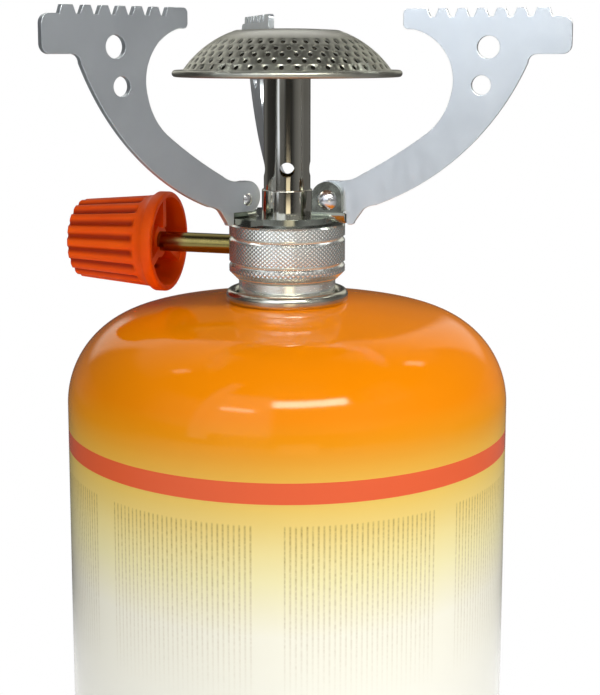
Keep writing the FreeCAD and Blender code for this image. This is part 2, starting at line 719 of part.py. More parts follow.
def make_spindle_gland():
    """Bush that closes the seal chamber round the spindle."""
    running = "spindle_radius + spindle_gap"
    face = "grip_radius - gland_sink"
    return seat_at(turned("spindle_gland", [
        ("chamber_end", running),
        (face, running),
        (face, "gland_radius"),
        ("chamber_end", "gland_radius"),
    ], axis="H_Axis"), spindle_place())


def make_spindle_oring():
    """Seal in the groove of the spindle."""
    section = seal_section_corners("groove_centre", "spindle_seal_ring", "spindle_seal_section")
    return seat_at(turned("spindle_oring", section, axis="H_Axis"), spindle_place())


def make_valve_spindle():
    """Spindle: tapered needle, seal groove and the plain rod that the knob grips."""
    groove_near = "groove_centre - groove_width/2"
    groove_far = "groove_centre + groove_width/2"
    end = "knob_start + hub_recess + hub_grip"
    return seat_at(turned("valve_spindle", [
        ("0", "0"),
        (end, "0"),
        (end, "spindle_radius"),
        (groove_far, "spindle_radius"),
        (groove_far, "groove_floor"),
        (groove_near, "groove_floor"),
        (groove_near, "spindle_radius"),
        ("needle_root", "spindle_radius"),
        ("needle_root", "needle_radius"),
        ("needle_shoulder", "needle_radius"),
        ("0", "needle_tip"),
    ], axis="H_Axis"), spindle_place())


def make_knob():
    """Moulded knob, open towards the stove: flared rim, ribbed taper, hub and three webs."""
    end = "(knob_start + knob_length)"
    rim_in = "knob_flange - knob_wall"
    flare_foot = "(knob_start + knob_flange_width + knob_flare)"
    nose_start = f"({end} - knob_nose_round)"
    floor = f"({end} - knob_end_wall)"
    hub_face = "(knob_start + hub_recess)"
    bore_end = f"({hub_face} + hub_grip)"
    body = turned("knob", [
        (end, "0"),
        (end, "knob_nose - knob_nose_round"),
        (nose_start, "knob_nose", "knob_nose_round", "left"),
        (flare_foot, "knob_root"),
        ("knob_start + knob_flange_width", "knob_flange", "knob_flare_bend", "right"),
        ("knob_start + knob_rim_round", "knob_flange"),
        ("knob_start", "knob_flange - knob_rim_round"),
        ("knob_start", rim_in),
        (flare_foot, "knob_root - knob_wall"),
        (floor, "knob_nose - knob_wall"),
        (floor, "hub_radius"),
        (hub_face, "hub_radius"),
        (hub_face, "spindle_radius"),
        (bore_end, "spindle_radius"),
        (bore_end, "0"),
    ], axis="H_Axis")
    add_knob_webs(body, floor)
    cut_knob_grooves(body, flare_foot, end)
    return seat_at(body, spindle_place())


def add_knob_webs(body, floor):
    """Three radial webs between the hub and the tapering wall."""
    start = "(knob_start + web_recess)"
    taper = "(knob_root - knob_wall - (knob_nose - knob_wall))/(knob_length - knob_end_wall - web_recess)"
    web = new_sketch(body, "web", "XZ_Plane")
    outline(web, [
        (start, "hub_radius - web_sink"),
        (f"{floor} + web_sink", "hub_radius - web_sink"),
        (f"{floor} + web_sink", "knob_nose - knob_wall + web_sink"),
        (start, f"knob_nose - knob_wall + web_sink + {taper}*({floor} - {start})"),
    ])
    around(body, [extruded(body, "Pad", web, "web_thickness", both_ways=True)], "knob_webs", "X_Axis")


def cut_knob_grooves(body, near, far):
    """Grooves between the ribs, following the taper and running out at the closed end."""
    slope = f"(knob_root - knob_nose)/({far} - knob_nose_round - {near})"
    ends = []
    for name, place in (("groove_near", near), ("groove_far", f"({far} + web_sink)")):
        sketch = new_sketch(body, name, "YZ_Plane", lift=place)
        surface = f"(knob_root - {slope}*({place} - {near}))"
        outline(sketch, [
            ("rib_gap/2", f"{surface} + rib_gap/2"),
            ("-rib_gap/2", f"{surface} + rib_gap/2"),
            ("-rib_floor/2", f"{surface} - rib_depth"),
            ("rib_floor/2", f"{surface} - rib_depth"),
        ])
        ends.append(sketch)
    before = body.Shape.Volume
    groove = body.newObject("PartDesign::SubtractiveLoft", "knob_groove")
    groove.Profile = ends[0]
    groove.Sections = [ends[1]]
    groove.Ruled = True
    doc.recompute()
    if body.Shape.Volume >= before:
        raise RuntimeError("the knob groove cut nothing")
    around(body, [groove], "knob_ribs", "X_Axis")


# ------------------------------------------------------------------ bracket, rivets, pot supports


def make_support_bracket():
    """Stamped plate with three tongues, each bent up at one side into an ear."""
    body = new_body("support_bracket")
    plate = new_sketch(body, "plate", "XY_Plane", lift=BRACKET_FOOT)
    circle(plate, "0", "0", "bracket_radius")
    circle(plate, "0", "0", "spigot_radius + bracket_gap")
    extruded(body, "Pad", plate, "bracket_sheet")

    outer_bend = "(bend_radius + bracket_sheet)"
    face = f"-(arm_offset + {EAR_FACE})"
    back = f"-(arm_offset + {EAR_BACK})"
    through = "4*tongue_half"
    top = f"{PIVOT_HEIGHT} + ear_width/2 + eye_rise"
    bend = new_sketch(body, "ear_bend", "YZ_Plane", lift="ear_start")
    outline(bend, [
        ("tongue_half", BRACKET_FOOT),
        ("tongue_half", BRACKET_TOP),
        (f"{back} + {outer_bend}", BRACKET_TOP),
        (face, f"{BRACKET_TOP} + bend_radius", "bend_radius", "right"),
        (face, top),
        (back, top),
        (back, f"{BRACKET_TOP} + bend_radius"),
        (f"{back} + {outer_bend}", BRACKET_FOOT, outer_bend, "left"),
    ])
    tongue = extruded(body, "Pad", bend, "tongue_end - ear_start")

    foot = f"{BRACKET_TOP} + bend_radius"
    shoulder = f"{top} - ear_width/2"
    trim = new_sketch(body, "ear_trim", "XZ_Plane")
    outline(trim, [
        ("ear_start", foot),
        ("ear_start", shoulder),
        ("ear_start + ear_width/2", top, "ear_width/2", "right"),
        ("ear_start + ear_width", shoulder, "ear_width/2", "right"),
        ("ear_start + ear_width", foot),
        ("tongue_end + ear_width", foot),
        ("tongue_end + ear_width", f"{top} + ear_width"),
        ("0", f"{top} + ear_width"),
        ("0", foot),
    ])
    rounded = extruded(body, "Pocket", trim, through, both_ways=True)

    hole = new_sketch(body, "rivet_hole", "XZ_Plane")
    circle(hole, "pivot_r", PIVOT_HEIGHT, "shank_radius")
    drilled = extruded(body, "Pocket", hole, through, both_ways=True)
    around(body, [tongue, rounded, drilled], len(SUPPORT_TURNS))
    return body


def make_rivet(number, turn):
    """Rivet through an ear and its pot support: domed head, shank and peened end."""
    inner = f"(-{EAR_FACE})"
    outer = EAR_BACK
    head_dome = dish_radius("head_radius", "head_height")
    body = turned(f"rivet_{number}", [
        ("0", f"{inner} - tail_height"),
        ("tail_radius/2", f"{inner} - tail_height"),
        ("tail_radius", inner),
        ("shank_radius", inner),
        ("shank_radius", outer),
        ("head_radius", outer),
        ("0", f"{outer} + head_height", head_dome, "left"),
    ])
    lying = FreeCAD.Rotation(FreeCAD.Vector(1, 0, 0), 90)
    pivot = FreeCAD.Vector(value("pivot_r"), -value("arm_offset"), value(PIVOT_HEIGHT))
    return seat_at(body, turn_about_z(turn).multiply(FreeCAD.Placement(pivot, lying)))


def make_pot_support(number, turn):
    """Blanked arm: eye, heel, sweeping back, outer tab, toothed rest and the concave bay."""
    body = new_body(f"pot_support_{number}")
    sketch = new_sketch(body, "blank", "XZ_Plane")
    outline(sketch, arm_outline())
    circle(sketch, "pivot_r", PIVOT_HEIGHT, "shank_radius + shank_gap")
    circle(sketch, "window_r", f"{PIVOT_HEIGHT} + window_rise", "window_radius")
    circle(sketch, "hole_r", f"{PIVOT_HEIGHT} + hole_rise", "hole_radius")
    extruded(body, "Pad", sketch, "arm_sheet", both_ways=True)
    cut_teeth(body)
    beside = FreeCAD.Placement(FreeCAD.Vector(0, -value("arm_offset"), 0), FreeCAD.Rotation())
    return seat_at(body, turn_about_z(turn).multiply(beside))


def arm_outline():
    """Edge of a pot support, from the lower edge round the heel and back to the eye."""
    lower = f"({BRACKET_TOP} + bend_radius + side_gap)"
    eye_height = f"({PIVOT_HEIGHT} + eye_rise)"
    eye_in = f"pivot_r - sqrt(eye_radius^2 - ({eye_height} - {lower})^2)"
    heel_in = "(tongue_end + heel_gap)"
    heel_foot = f"({lower} - heel_drop)"
    tab_bottom = f"({PIVOT_HEIGHT} + tab_bottom_rise)"
    tab_top = f"({PIVOT_HEIGHT} + tab_top_rise)"
    rest = f"({PIVOT_HEIGHT} + rest_rise)"
    return [
        (heel_in, lower),
        (heel_in, f"{heel_foot} + heel_round"),
        (f"{heel_in} + heel_round", heel_foot, "heel_round", "left"),
        (f"{heel_in} + heel_width - heel_round", heel_foot),
        (f"{heel_in} + heel_width", f"{heel_foot} + heel_round", "heel_round", "left"),
        (f"{heel_in} + heel_width + heel_slope", f"{lower} + heel_round"),
        ("sweep_start_r", f"{lower} + sweep_start_rise", "toe_bend", "right"),
        ("sweep_end_r", f"{tab_bottom} - tab_fillet", "sweep_radius", "left"),
        ("sweep_end_r + tab_fillet", tab_bottom, "tab_fillet", "right"),
        ("tab_end - tab_corner", tab_bottom),
        ("tab_end", f"{tab_bottom} + tab_corner", "tab_corner", "left"),
        ("tab_end", f"{tab_top} - tab_corner"),
        ("tab_end - tab_corner", tab_top, "tab_corner", "left"),
        ("tab_start", tab_top),
        ("tab_start - tab_step", rest),
        ("tip_r + tip_corner", rest),
        ("tip_r", f"{rest} - tip_corner", "tip_corner", "left"),
        ("tip_r", f"{rest} - tip_drop + tip_corner"),
        ("tip_r + tip_corner", f"{rest} - tip_drop", "tip_corner", "left"),
        ("bay_start_r", f"{rest} - tip_drop"),
        ("bay_turn_r", f"{PIVOT_HEIGHT} + bay_turn_rise", "bay_radius", "right"),
        ("bay_low_r", f"{PIVOT_HEIGHT} + bay_low_rise", "bay_low_radius", "right"),
        ("bay_run_r", f"{PIVOT_HEIGHT} + bay_run_rise", "bay_run_radius", "right"),
        ("pivot_r + eye_radius/2", f"{eye_height} + eye_radius", "bay_foot_radius", "right"),
        ("pivot_r", f"{eye_height} + eye_radius"),
        ("pivot_r - eye_radius", eye_height, "eye_radius", "left"),
        (eye_in, lower, "eye_radius", "left"),
    ]


def cut_teeth(body):
    """Row of notches along the pot rest."""
    rest = f"{PIVOT_HEIGHT} + rest_rise"
    notch = new_sketch(body, "notch", "XZ_Plane")
    outline(notch, [
        ("notch_first_r - notch_floor/2", f"{rest} - tooth_depth"),
        ("notch_first_r + notch_floor/2", f"{rest} - tooth_depth"),
        ("notch_first_r + notch_mouth/2", rest),
        ("notch_first_r - notch_mouth/2", rest),
    ])
    cut = extruded(body, "Pocket", notch, "2*arm_sheet", both_ways=True)
    row = body.newObject("PartDesign::LinearPattern", f"{body.Name}_teeth")
    row.Originals = [cut]
    row.Direction = (notch, ["H_Axis"])
    row.Mode = "Extent"
    row.setExpression("Length", bound("tooth_pitch*(tooth_count - 1)"))
    row.setExpression("Occurrences", bound("tooth_count"))
    body.Tip = row
    doc.recompute()


# ------------------------------------------------------------------ tube and burner head


def make_tube_sleeve():
    """Sleeve screwed on the spigot: it clamps the bracket and holds the foot of the tube."""
    top = f"{BRACKET_TOP} + sleeve_height"
    return turned("tube_sleeve", [
        ("spigot_radius", BRACKET_TOP),
        ("sleeve_radius", BRACKET_TOP),
        ("sleeve_radius", f"{top} - sleeve_edge"),
        ("sleeve_radius - sleeve_edge", top),
        ("tube_radius", top),
        ("tube_radius", SPIGOT_TOP),
        ("spigot_radius", SPIGOT_TOP),
    ])


def make_mixing_tube():
    """Mixing tube with two crossed pairs of air holes above the jet."""
    body = turned("mixing_tube", [
        ("tube_radius - tube_wall", SPIGOT_TOP),
        ("tube_radius", SPIGOT_TOP),
        ("tube_radius", f"{SPIGOT_TOP} + tube_length"),
        ("tube_radius - tube_wall", f"{SPIGOT_TOP} + tube_length"),
    ])
    sketch = new_sketch(body, "air_hole", "XZ_Plane")
    circle(sketch, "0", f"{SPIGOT_TOP} + air_hole_rise", "air_hole_radius")
    around(body, [extruded(body, "Pocket", sketch, "2*tube_radius")], "air_holes")
    return seat_at(body, turn_about_z(value("air_hole_turn")))


def make_burner_pan():
    """Lower plate of the burner head with its collar and the rolled rim bead."""
    sheet_top = f"({PAN_FOOT} + pan_sheet)"
    bead_height = f"({PAN_FOOT} + bead_rise)"
    inner = "(bead_ring - bead_flat)"
    low_reach = f"{inner} - sqrt(bead_radius^2 - bead_rise^2)"
    top_reach = f"{inner} - sqrt(bead_radius^2 - (bead_rise - pan_sheet)^2)"
    return turned("burner_pan", [
        ("tube_radius", PAN_FOOT),
        (low_reach, PAN_FOOT),
        (inner, f"{bead_height} - bead_radius", "bead_radius", "left"),
        ("bead_ring", f"{bead_height} - bead_radius"),
        ("bead_ring + bead_radius", bead_height, "bead_radius", "left"),
        ("bead_ring", f"{bead_height} + bead_radius", "bead_radius", "left"),
        (inner, f"{bead_height} + bead_radius"),
        (top_reach, sheet_top, "bead_radius", "left"),
        ("tube_radius + pan_sheet", sheet_top),
        ("tube_radius + pan_sheet", f"{PAN_FOOT} + pan_collar"),
        ("tube_radius", f"{PAN_FOOT} + pan_collar"),
    ])


def make_burner_cap():
    """Domed cap inside the rim bead, with staggered rows of ports under a plain top."""
    foot = f"({PAN_FOOT} + pan_sheet)"
    skirt_top = f"({foot} + cap_skirt)"
    band_top = f"({skirt_top} + cap_rise)"
    reach = "(bead_ring - bead_flat - bead_radius)"
    crown = dish_radius("cap_flat_r", "cap_crown")
    body = turned("burner_cap", [
        (f"{reach} - cap_sheet", foot),
        (reach, foot),
        (reach, skirt_top),
        ("cap_flat_r", band_top, "cap_radius", "left"),
        ("0", f"{band_top} + cap_crown", crown, "left"),
        ("0", f"{band_top} + cap_crown - cap_sheet"),
        ("cap_flat_r", f"{band_top} - cap_sheet", crown, "right"),
        (f"{reach} - cap_sheet", skirt_top, "cap_radius", "right"),
    ])
    half_step = 180 / value("port_columns")
    for first, turn in enumerate((0, half_step)):
        sketch = new_sketch(body, f"ports_{first}", "YZ_Plane", lift="bead_ring", turn=turn)
        for step in range(first, int(value("port_rows")), 2):
            diamond(sketch, f"({skirt_top} + port_low + {step}*port_pitch)", "port_radius")
        cut = extruded(body, "Pocket", sketch, "bead_ring - cap_flat_r")
        around(body, [cut], "port_columns")
    return body


def diamond(sketch, height, radius):
    """A four-cornered port on the sketch's upright."""
    outline(sketch, [
        (radius, height),
        ("0", f"{height} + {radius}"),
        (f"-{radius}", height),
        ("0", f"{height} - {radius}"),
    ])


# ------------------------------------------------------------------ assembly


def make_all():
    """Every sub-part, from the floor up."""
    parts = [
        make_can_shell(),
        make_can_base(),
        make_mounting_cup(),
        make_can_valve_gasket(),
        make_can_valve_housing(),
        make_can_valve_plunger(),
        make_can_valve_spring(),
        make_valve_body(),
        make_inlet_oring(),
        make_actuator_pin(),
        make_jet(),
        make_spindle_gland(),
        make_spindle_oring(),
        make_valve_spindle(),
        make_knob(),
        make_support_bracket(),
        make_tube_sleeve(),
        make_mixing_tube(),
        make_burner_pan(),
        make_burner_cap(),
    ]
    for number, turn in enumerate(SUPPORT_TURNS, start=1):
        parts.append(make_rivet(number, turn))
        parts.append(make_pot_support(number, turn))
    return parts


def check(parts):
    """Stop if any object failed or any sub-part is not one valid solid."""
    doc.recompute()
    for item in doc.Objects:
        if "Invalid" in item.State or "Error" in item.State:
            raise RuntimeError(f"{item.Name} failed")
    for part in parts:
        shape = part.Shape
        if shape.isNull() or not shape.isValid() or len(shape.Solids) != 1:
            raise RuntimeError(f"{part.Label} is not one valid solid")


def export(parts):
    """Write each sub-part to its own STEP file."""
    os.makedirs("parts", exist_ok=True)
    for part in parts:
        part.Shape.exportStep(f"parts/{part.Label}.step")


PARTS = make_all()
check(PARTS)
export(PARTS)
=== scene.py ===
"""Canister stove: surfaces, materials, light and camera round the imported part.

Sizes are written in millimetres and become metres where a mesh or a node takes them.
"""

import math

import bmesh
import bpy
from mathutils import Matrix, Vector


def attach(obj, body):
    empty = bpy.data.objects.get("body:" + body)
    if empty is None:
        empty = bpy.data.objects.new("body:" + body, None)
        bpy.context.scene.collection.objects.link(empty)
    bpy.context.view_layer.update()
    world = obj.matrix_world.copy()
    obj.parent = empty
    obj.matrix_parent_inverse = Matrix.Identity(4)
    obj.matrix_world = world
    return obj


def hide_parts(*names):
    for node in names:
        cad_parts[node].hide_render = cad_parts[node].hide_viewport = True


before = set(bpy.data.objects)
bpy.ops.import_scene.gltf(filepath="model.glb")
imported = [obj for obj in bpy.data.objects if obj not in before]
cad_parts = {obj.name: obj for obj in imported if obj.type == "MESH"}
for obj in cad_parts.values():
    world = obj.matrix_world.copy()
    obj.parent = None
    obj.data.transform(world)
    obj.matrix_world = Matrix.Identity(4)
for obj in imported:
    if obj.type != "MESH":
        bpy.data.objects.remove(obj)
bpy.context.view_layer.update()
MM = 0.001

# ---- sizes that pieces share, in millimetres

# cartridge
CARTRIDGE_TOP = 153.0
CAN_RADIUS, CAN_WALL = 55.0, 0.45
SHOULDER, CROWN = 22.0, 200.0
CUP_RADIUS, CUP_SHEET = 15.3, 0.5
CUP_SEAT = CARTRIDGE_TOP - 5.95
PEDESTAL = 5.56
SHOULDER_REACH = CAN_RADIUS - SHOULDER
CROWN_CENTRE = CUP_SEAT - math.sqrt(CROWN**2 - (CUP_RADIUS - CUP_SHEET) ** 2)
SHOULDER_HEIGHT = CROWN_CENTRE + math.sqrt((CROWN - SHOULDER) ** 2 - SHOULDER_REACH**2)
BAND_LOW, BAND_HIGH = 112.2, 117.0

# valve body and spindle
BODY_TOP = CARTRIDGE_TOP + 13.6
GRIP = 14.5
SPIGOT = 4.9
SPINDLE, SPINDLE_HEIGHT = 2.5, BODY_TOP - 6.1

# bracket and pot supports
SEAT_HEIGHT, BRACKET_SHEET = 0.6, 1.5
BRACKET_TOP = BODY_TOP + SEAT_HEIGHT + BRACKET_SHEET
SPIGOT_TOP = BRACKET_TOP + 3.5
PIVOT_REACH, PIVOT_HEIGHT = 11.6, BRACKET_TOP + 4.3
ARM_OFFSET, ARM_SHEET = 2.2, 1.5

# tube and burner head
TUBE, TUBE_WALL = 5.8, 0.6
TUBE_TOP = SPIGOT_TOP + 33.4
PAN_FOOT, PAN_SHEET = TUBE_TOP - 2.8, 0.6
CAP_SKIRT = 0.8
CAP_FOOT = PAN_FOOT + PAN_SHEET + CAP_SKIRT
CAP_REACH, CAP_FLAT, CAP_RISE, CAP_BEND = 25.7, 12.6, 9.8, 26.0
PORT_COLUMNS = 43

# knob, from its open rim to its closed end along the spindle
KNOB_RIM, KNOB_END = 31.7, 56.0
KNOB_FLARE = 37.1
KNOB_RIBS = 18

# ---- outlines


def arc_points(start, stop, radius, turn, step=6.0):
    """Points after start up to stop on the short arc that turns left or right."""
    a, b = Vector(start), Vector(stop)
    chord = b - a
    height = math.sqrt(max(radius**2 - chord.length_squared / 4, 0.0))
    side = Vector((-chord.y, chord.x)).normalized() * (1 if turn == "left" else -1)
    centre = (a + b) / 2 + side * height
    first = math.atan2(a.y - centre.y, a.x - centre.x)
    sweep = 2 * math.asin(min(chord.length / (2 * radius), 1.0))
    sweep *= 1 if turn == "left" else -1
    count = max(2, math.ceil(abs(math.degrees(sweep)) / step))
    angles = [first + sweep * i / count for i in range(1, count + 1)]
    return [(centre.x + radius * math.cos(t), centre.y + radius * math.sin(t)) for t in angles]


def trace(corners, step=6.0):
    """Closed outline in millimetres from corners (across, up[, radius, turn of the edge to it])."""
    points = []
    for index, corner in enumerate(corners):
        if len(corner) == 4:
            points += arc_points(corners[index - 1][:2], corner[:2], corner[2], corner[3], step)
        else:
            points.append(corner)
    return points


def crown_height(reach, inset=0.0):
    """Height of the cartridge's domed top over a radius."""
    return CROWN_CENTRE + math.sqrt((CROWN - inset) ** 2 - reach**2)


def dish_radius(reach, rise):
    """Radius of a dish that rises over a reach from its edge to the axis."""
    return (reach**2 + rise**2) / (2 * rise)


# ---- meshes


def link(name, data):
    """An object in the scene for a mesh, a lamp or a camera."""
    made = bpy.data.objects.new(name, data)
    bpy.context.scene.collection.objects.link(made)
    return made


def mesh_object(name, vertices, faces):
    """An object from vertices in millimetres."""
    mesh = bpy.data.meshes.new(name)
    mesh.from_pydata([tuple(c * MM for c in v) for v in vertices], [], faces)
    mesh.update()
    return link(name, mesh)


def placed(along, radius, angle, axis):
    """A point along the stove's axis or the spindle's, at a radius and an angle round it."""
    if axis == "z":
        return (radius * math.cos(angle), radius * math.sin(angle), along)
    return (-along, -radius * math.cos(angle), SPINDLE_HEIGHT + radius * math.sin(angle))


def lathe(name, profile, sides=128, axis="z", sweep=360.0, shape=None, closed=True, first=0.0):
    """Turn a closed or open profile of (radius, along) about an axis, whole or as one sector.

    shape(radius, along, angle) may give the radius at that angle. Points on the axis become poles.
    A whole turn starts at the angle first, in degrees.
    """
    whole = sweep == 360.0
    columns = sides if whole else sides + 1
    start = math.radians(first if whole else -sweep / 2)
    vertices, rings = [], []
    for radius, along in profile:
        ring = []
        for column in range(columns):
            if radius < 1e-6 and column:
                ring.append(ring[0])
                continue
            angle = start + math.radians(sweep) * column / sides
            reach = shape(radius, along, angle) if shape else radius
            ring.append(len(vertices))
            vertices.append(placed(along, reach, angle, axis))
        rings.append(ring)
    faces = []
    for ring, following in zip(rings, rings[1:] + rings[:1] if closed else rings[1:]):
        for column in range(sides):
            beside = (column + 1) % columns
            corners = [ring[column], ring[beside], following[beside], following[column]]
            face = tuple(dict.fromkeys(corners))
            if len(face) > 2:
                faces.append(face)
    return mesh_object(name, vertices, faces)


def extruded(name, outline, low, high, place):
    """A plate from a closed outline; place(across, up, depth) gives each point."""
    count = len(outline)
    vertices = [place(x, y, depth) for depth in (low, high) for x, y in outline]
    faces = [tuple(reversed(range(count))), tuple(range(count, 2 * count))]
    faces += [(i, (i + 1) % count, (i + 1) % count + count, i + count) for i in range(count)]
    return mesh_object(name, vertices, faces)


def evaluated(piece):
    """Turn a piece with its modifiers into a plain mesh."""
    graph = bpy.context.evaluated_depsgraph_get()
    graph.update()
    mesh = bpy.data.meshes.new_from_object(piece.evaluated_get(graph))
    piece.modifiers.clear()
    piece.data = mesh
    return piece


def welded(piece, distance=0.0005):
    """Merge doubled vertices and point the faces outwards."""
    work = bmesh.new()
    work.from_mesh(piece.data)
    bmesh.ops.remove_doubles(work, verts=work.verts, dist=distance * MM)
    bmesh.ops.recalc_face_normals(work, faces=work.faces)
    work.to_mesh(piece.data)
    work.free()
    return piece


def joined(name, pieces):
    """One object from several."""
    work = bmesh.new()
    for piece in pieces:
        work.from_mesh(piece.data)
        bpy.data.meshes.remove(piece.data)
    mesh = bpy.data.meshes.new(name)
    work.to_mesh(mesh)
    work.free()
    return link(name, mesh)


def cut(piece, tools):
    """Take the tools' volumes away from a piece."""
    for tool in tools:
        modifier = piece.modifiers.new("cut", "BOOLEAN")
        modifier.operation = "DIFFERENCE"
        modifier.object = tool
    evaluated(piece)
    for tool in tools:
        bpy.data.meshes.remove(tool.data)


def rounded_copy(solid, name, width):
    """A welded copy of a CAD solid: flat faces made whole, sharp edges rounded by a width."""
    work = bmesh.new()
    work.from_mesh(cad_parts[solid].data)
    bmesh.ops.remove_doubles(work, verts=work.verts, dist=0.002 * MM)
    bmesh.ops.dissolve_limit(
        work, angle_limit=math.radians(0.5), verts=work.verts, edges=work.edges)
    mesh = bpy.data.meshes.new(name)
    work.to_mesh(mesh)
    work.free()
    piece = link(name, mesh)
    bevel = piece.modifiers.new("edges", "BEVEL")
    bevel.width = width * MM
    bevel.segments = 2
    bevel.limit_method = "ANGLE"
    bevel.angle_limit = math.radians(30.0)
    return evaluated(piece)


def finish(piece, material, body, replaces=(), angle=35.0, flat_from=None):
    """Smooth the piece, give it its finish and fasten it to its body.

    Faces of flat_from square millimetres or more stay flat. Without a material the piece keeps
    its own.
    """
    if material:
        piece.data.materials.clear()
        piece.data.materials.append(material)
    piece.data.shade_smooth()
    piece.data.set_sharp_from_angle(angle=math.radians(angle))
    if flat_from:
        for face in piece.data.polygons:
            face.use_smooth = face.area < flat_from * MM * MM
    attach(piece, body)
    if replaces:
        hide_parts(*replaces)


# ---- node helpers


def node(tree, kind, inputs=None, **settings):
    """Add a node, set its options, and set its inputs or link them to sockets or nodes."""
    made = tree.nodes.new(kind)
    for key, setting in settings.items():
        setattr(made, key, setting)
    for key, given in (inputs or {}).items():
        given = given.outputs[0] if isinstance(given, bpy.types.Node) else given
        if isinstance(given, bpy.types.NodeSocket):
            tree.links.new(given, made.inputs[key])
        else:
            made.inputs[key].default_value = given
    return made


def math_node(tree, operation, first, second=0.0, third=0.0):
    """The result of a sum over sockets or numbers."""
    return node(tree, "ShaderNodeMath", {0: first, 1: second, 2: third}, operation=operation).outputs[0]


def times(tree, *levels):
    """The product of sockets and numbers."""
    product = levels[0]
    for level in levels[1:]:
        product = math_node(tree, "MULTIPLY", product, level)
    return product


def parts_of(tree, vector):
    """The X, Y and Z sockets of a vector."""
    return node(tree, "ShaderNodeSeparateXYZ", {0: vector}).outputs


def length_of(tree, vector):
    """The length of a vector."""
    return node(tree, "ShaderNodeVectorMath", {0: vector}, operation="LENGTH").outputs["Value"]


def spread(tree, level, low, high, first=0.25, last=0.75, **settings):
    """A level from first to last, or the middle half of 0 to 1, brought into a range."""
    return node(tree, "ShaderNodeMapRange", {
        "Value": level, "From Min": first, "From Max": last, "To Min": low, "To Max": high},
        **settings).outputs[0]


def falling(tree, level, far, near):
    """A soft step: 1 up to near, 0 from far on."""
    return spread(tree, level, 1.0, 0.0, near, far, interpolation_type="SMOOTHSTEP")


def ramp_of(tree, level, stops):
    """The colour at a level of 0 to 1 between (position, colour) stops."""
    ramp = node(tree, "ShaderNodeValToRGB", {0: level})
    while len(ramp.color_ramp.elements) < len(stops):
        ramp.color_ramp.elements.new(0.5)
    for element, (position, tone) in zip(ramp.color_ramp.elements, stops):
        element.position = position
        element.color = tone
    return ramp.outputs[0]


def colour(red, green, blue):
    """Linear colour from display values of 0 to 255."""
    linear = []
    for level in (red, green, blue):
        share = level / 255
        linear.append(share / 12.92 if share <= 0.04045 else ((share + 0.055) / 1.055) ** 2.4)
    return (*linear, 1.0)


# ---- geometry node trees


def new_tree(name, inputs):
    """A geometry node tree with named inputs, and the sockets that give them."""
    tree = bpy.data.node_groups.new(name, "GeometryNodeTree")
    face = tree.interface
    face.new_socket("Geometry", in_out="INPUT", socket_type="NodeSocketGeometry")
    for label, kind in inputs + [("Weld Distance", "Float"), ("Material", "Material")]:
        face.new_socket(label, in_out="INPUT", socket_type=f"NodeSocket{kind}")
    face.new_socket("Geometry", in_out="OUTPUT", socket_type="NodeSocketGeometry")
    return tree, tree.nodes.new("NodeGroupInput").outputs


def end_tree(tree, given, geometry):
    """Realize the instances, weld them, set the material and end the tree."""
    real = node(tree, "GeometryNodeRealizeInstances", {"Geometry": geometry})
    weld = node(tree, "GeometryNodeMergeByDistance", {"Geometry": real, "Distance": given["Weld Distance"]})
    dressed = node(tree, "GeometryNodeSetMaterial", {"Geometry": weld, "Material": given["Material"]})
    node(tree, "NodeGroupOutput", {0: dressed})
    return tree


def make_round_tree():
    """Repeat a piece in equal turns about an axis through a point."""
    tree, given = new_tree("repeat_round", [("Count", "Int"), ("Axis", "Vector"), ("Through", "Vector")])
    line = node(tree, "GeometryNodePoints", {"Count": given["Count"]})
    index = node(tree, "GeometryNodeInputIndex")
    turn = math_node(tree, "DIVIDE", index, given["Count"])
    angle = times(tree, turn, 2 * math.pi)
    rotation = node(tree, "FunctionNodeAxisAngleToRotation", {"Axis": given["Axis"], "Angle": angle})
    offset = node(tree, "ShaderNodeVectorMath", {0: given["Through"], "Scale": -1.0},
                  operation="SCALE")
    centred = node(tree, "GeometryNodeTransform", {
        "Geometry": given["Geometry"], "Translation": offset})
    copies = node(tree, "GeometryNodeInstanceOnPoints", {
        "Points": line, "Instance": centred, "Rotation": rotation})
    back = node(tree, "GeometryNodeTransform", {
        "Geometry": copies, "Translation": given["Through"]})
    return end_tree(tree, given, back)


def make_knurl_tree():
    """Press a diamond knurl into the rows of a turned grip that carry a row number."""
    tree, given = new_tree("diamond_knurl", [("Cells Round", "Float"), ("Depth", "Float")])
    row = node(tree, "GeometryNodeInputNamedAttribute", {"Name": "grip_row"}, data_type="FLOAT")
    place = parts_of(tree, node(tree, "GeometryNodeInputPosition"))
    angle = math_node(tree, "ARCTAN2", place["Y"], place["X"])
    scaled = times(tree, angle, given["Cells Round"])
    across = math_node(tree, "DIVIDE", scaled, math.pi)
    one_way = math_node(tree, "PINGPONG", math_node(tree, "ADD", across, row), 1.0)
    other_way = math_node(tree, "PINGPONG", math_node(tree, "SUBTRACT", across, row), 1.0)
    valley = math_node(tree, "MAXIMUM", one_way, other_way)
    pressed = math_node(tree, "GREATER_THAN", row, 0.5)
    inward = times(tree, valley, pressed, given["Depth"], -1.0)
    level = node(tree, "ShaderNodeCombineXYZ", {"X": place["X"], "Y": place["Y"]})
    outward = node(tree, "ShaderNodeVectorMath", {0: level}, operation="NORMALIZE")
    push = node(tree, "ShaderNodeVectorMath", {0: outward, "Scale": inward}, operation="SCALE")
    moved = node(tree, "GeometryNodeSetPosition", {
        "Geometry": given["Geometry"], "Offset": push})
    return end_tree(tree, given, moved)


def with_tree(piece, tree, **values):
    """Run a geometry node tree over a piece and keep the plain result."""
    modifier = piece.modifiers.new(tree.name, "NODES")
    modifier.node_group = tree
    sockets = {item.name: item.identifier for item in tree.interface.items_tree
               if item.in_out == "INPUT"}
    for label, given in values.items():
        modifier[sockets[label.replace("_", " ")]] = given
    return evaluated(piece)


ROUND = make_round_tree()
KNURL = make_knurl_tree()


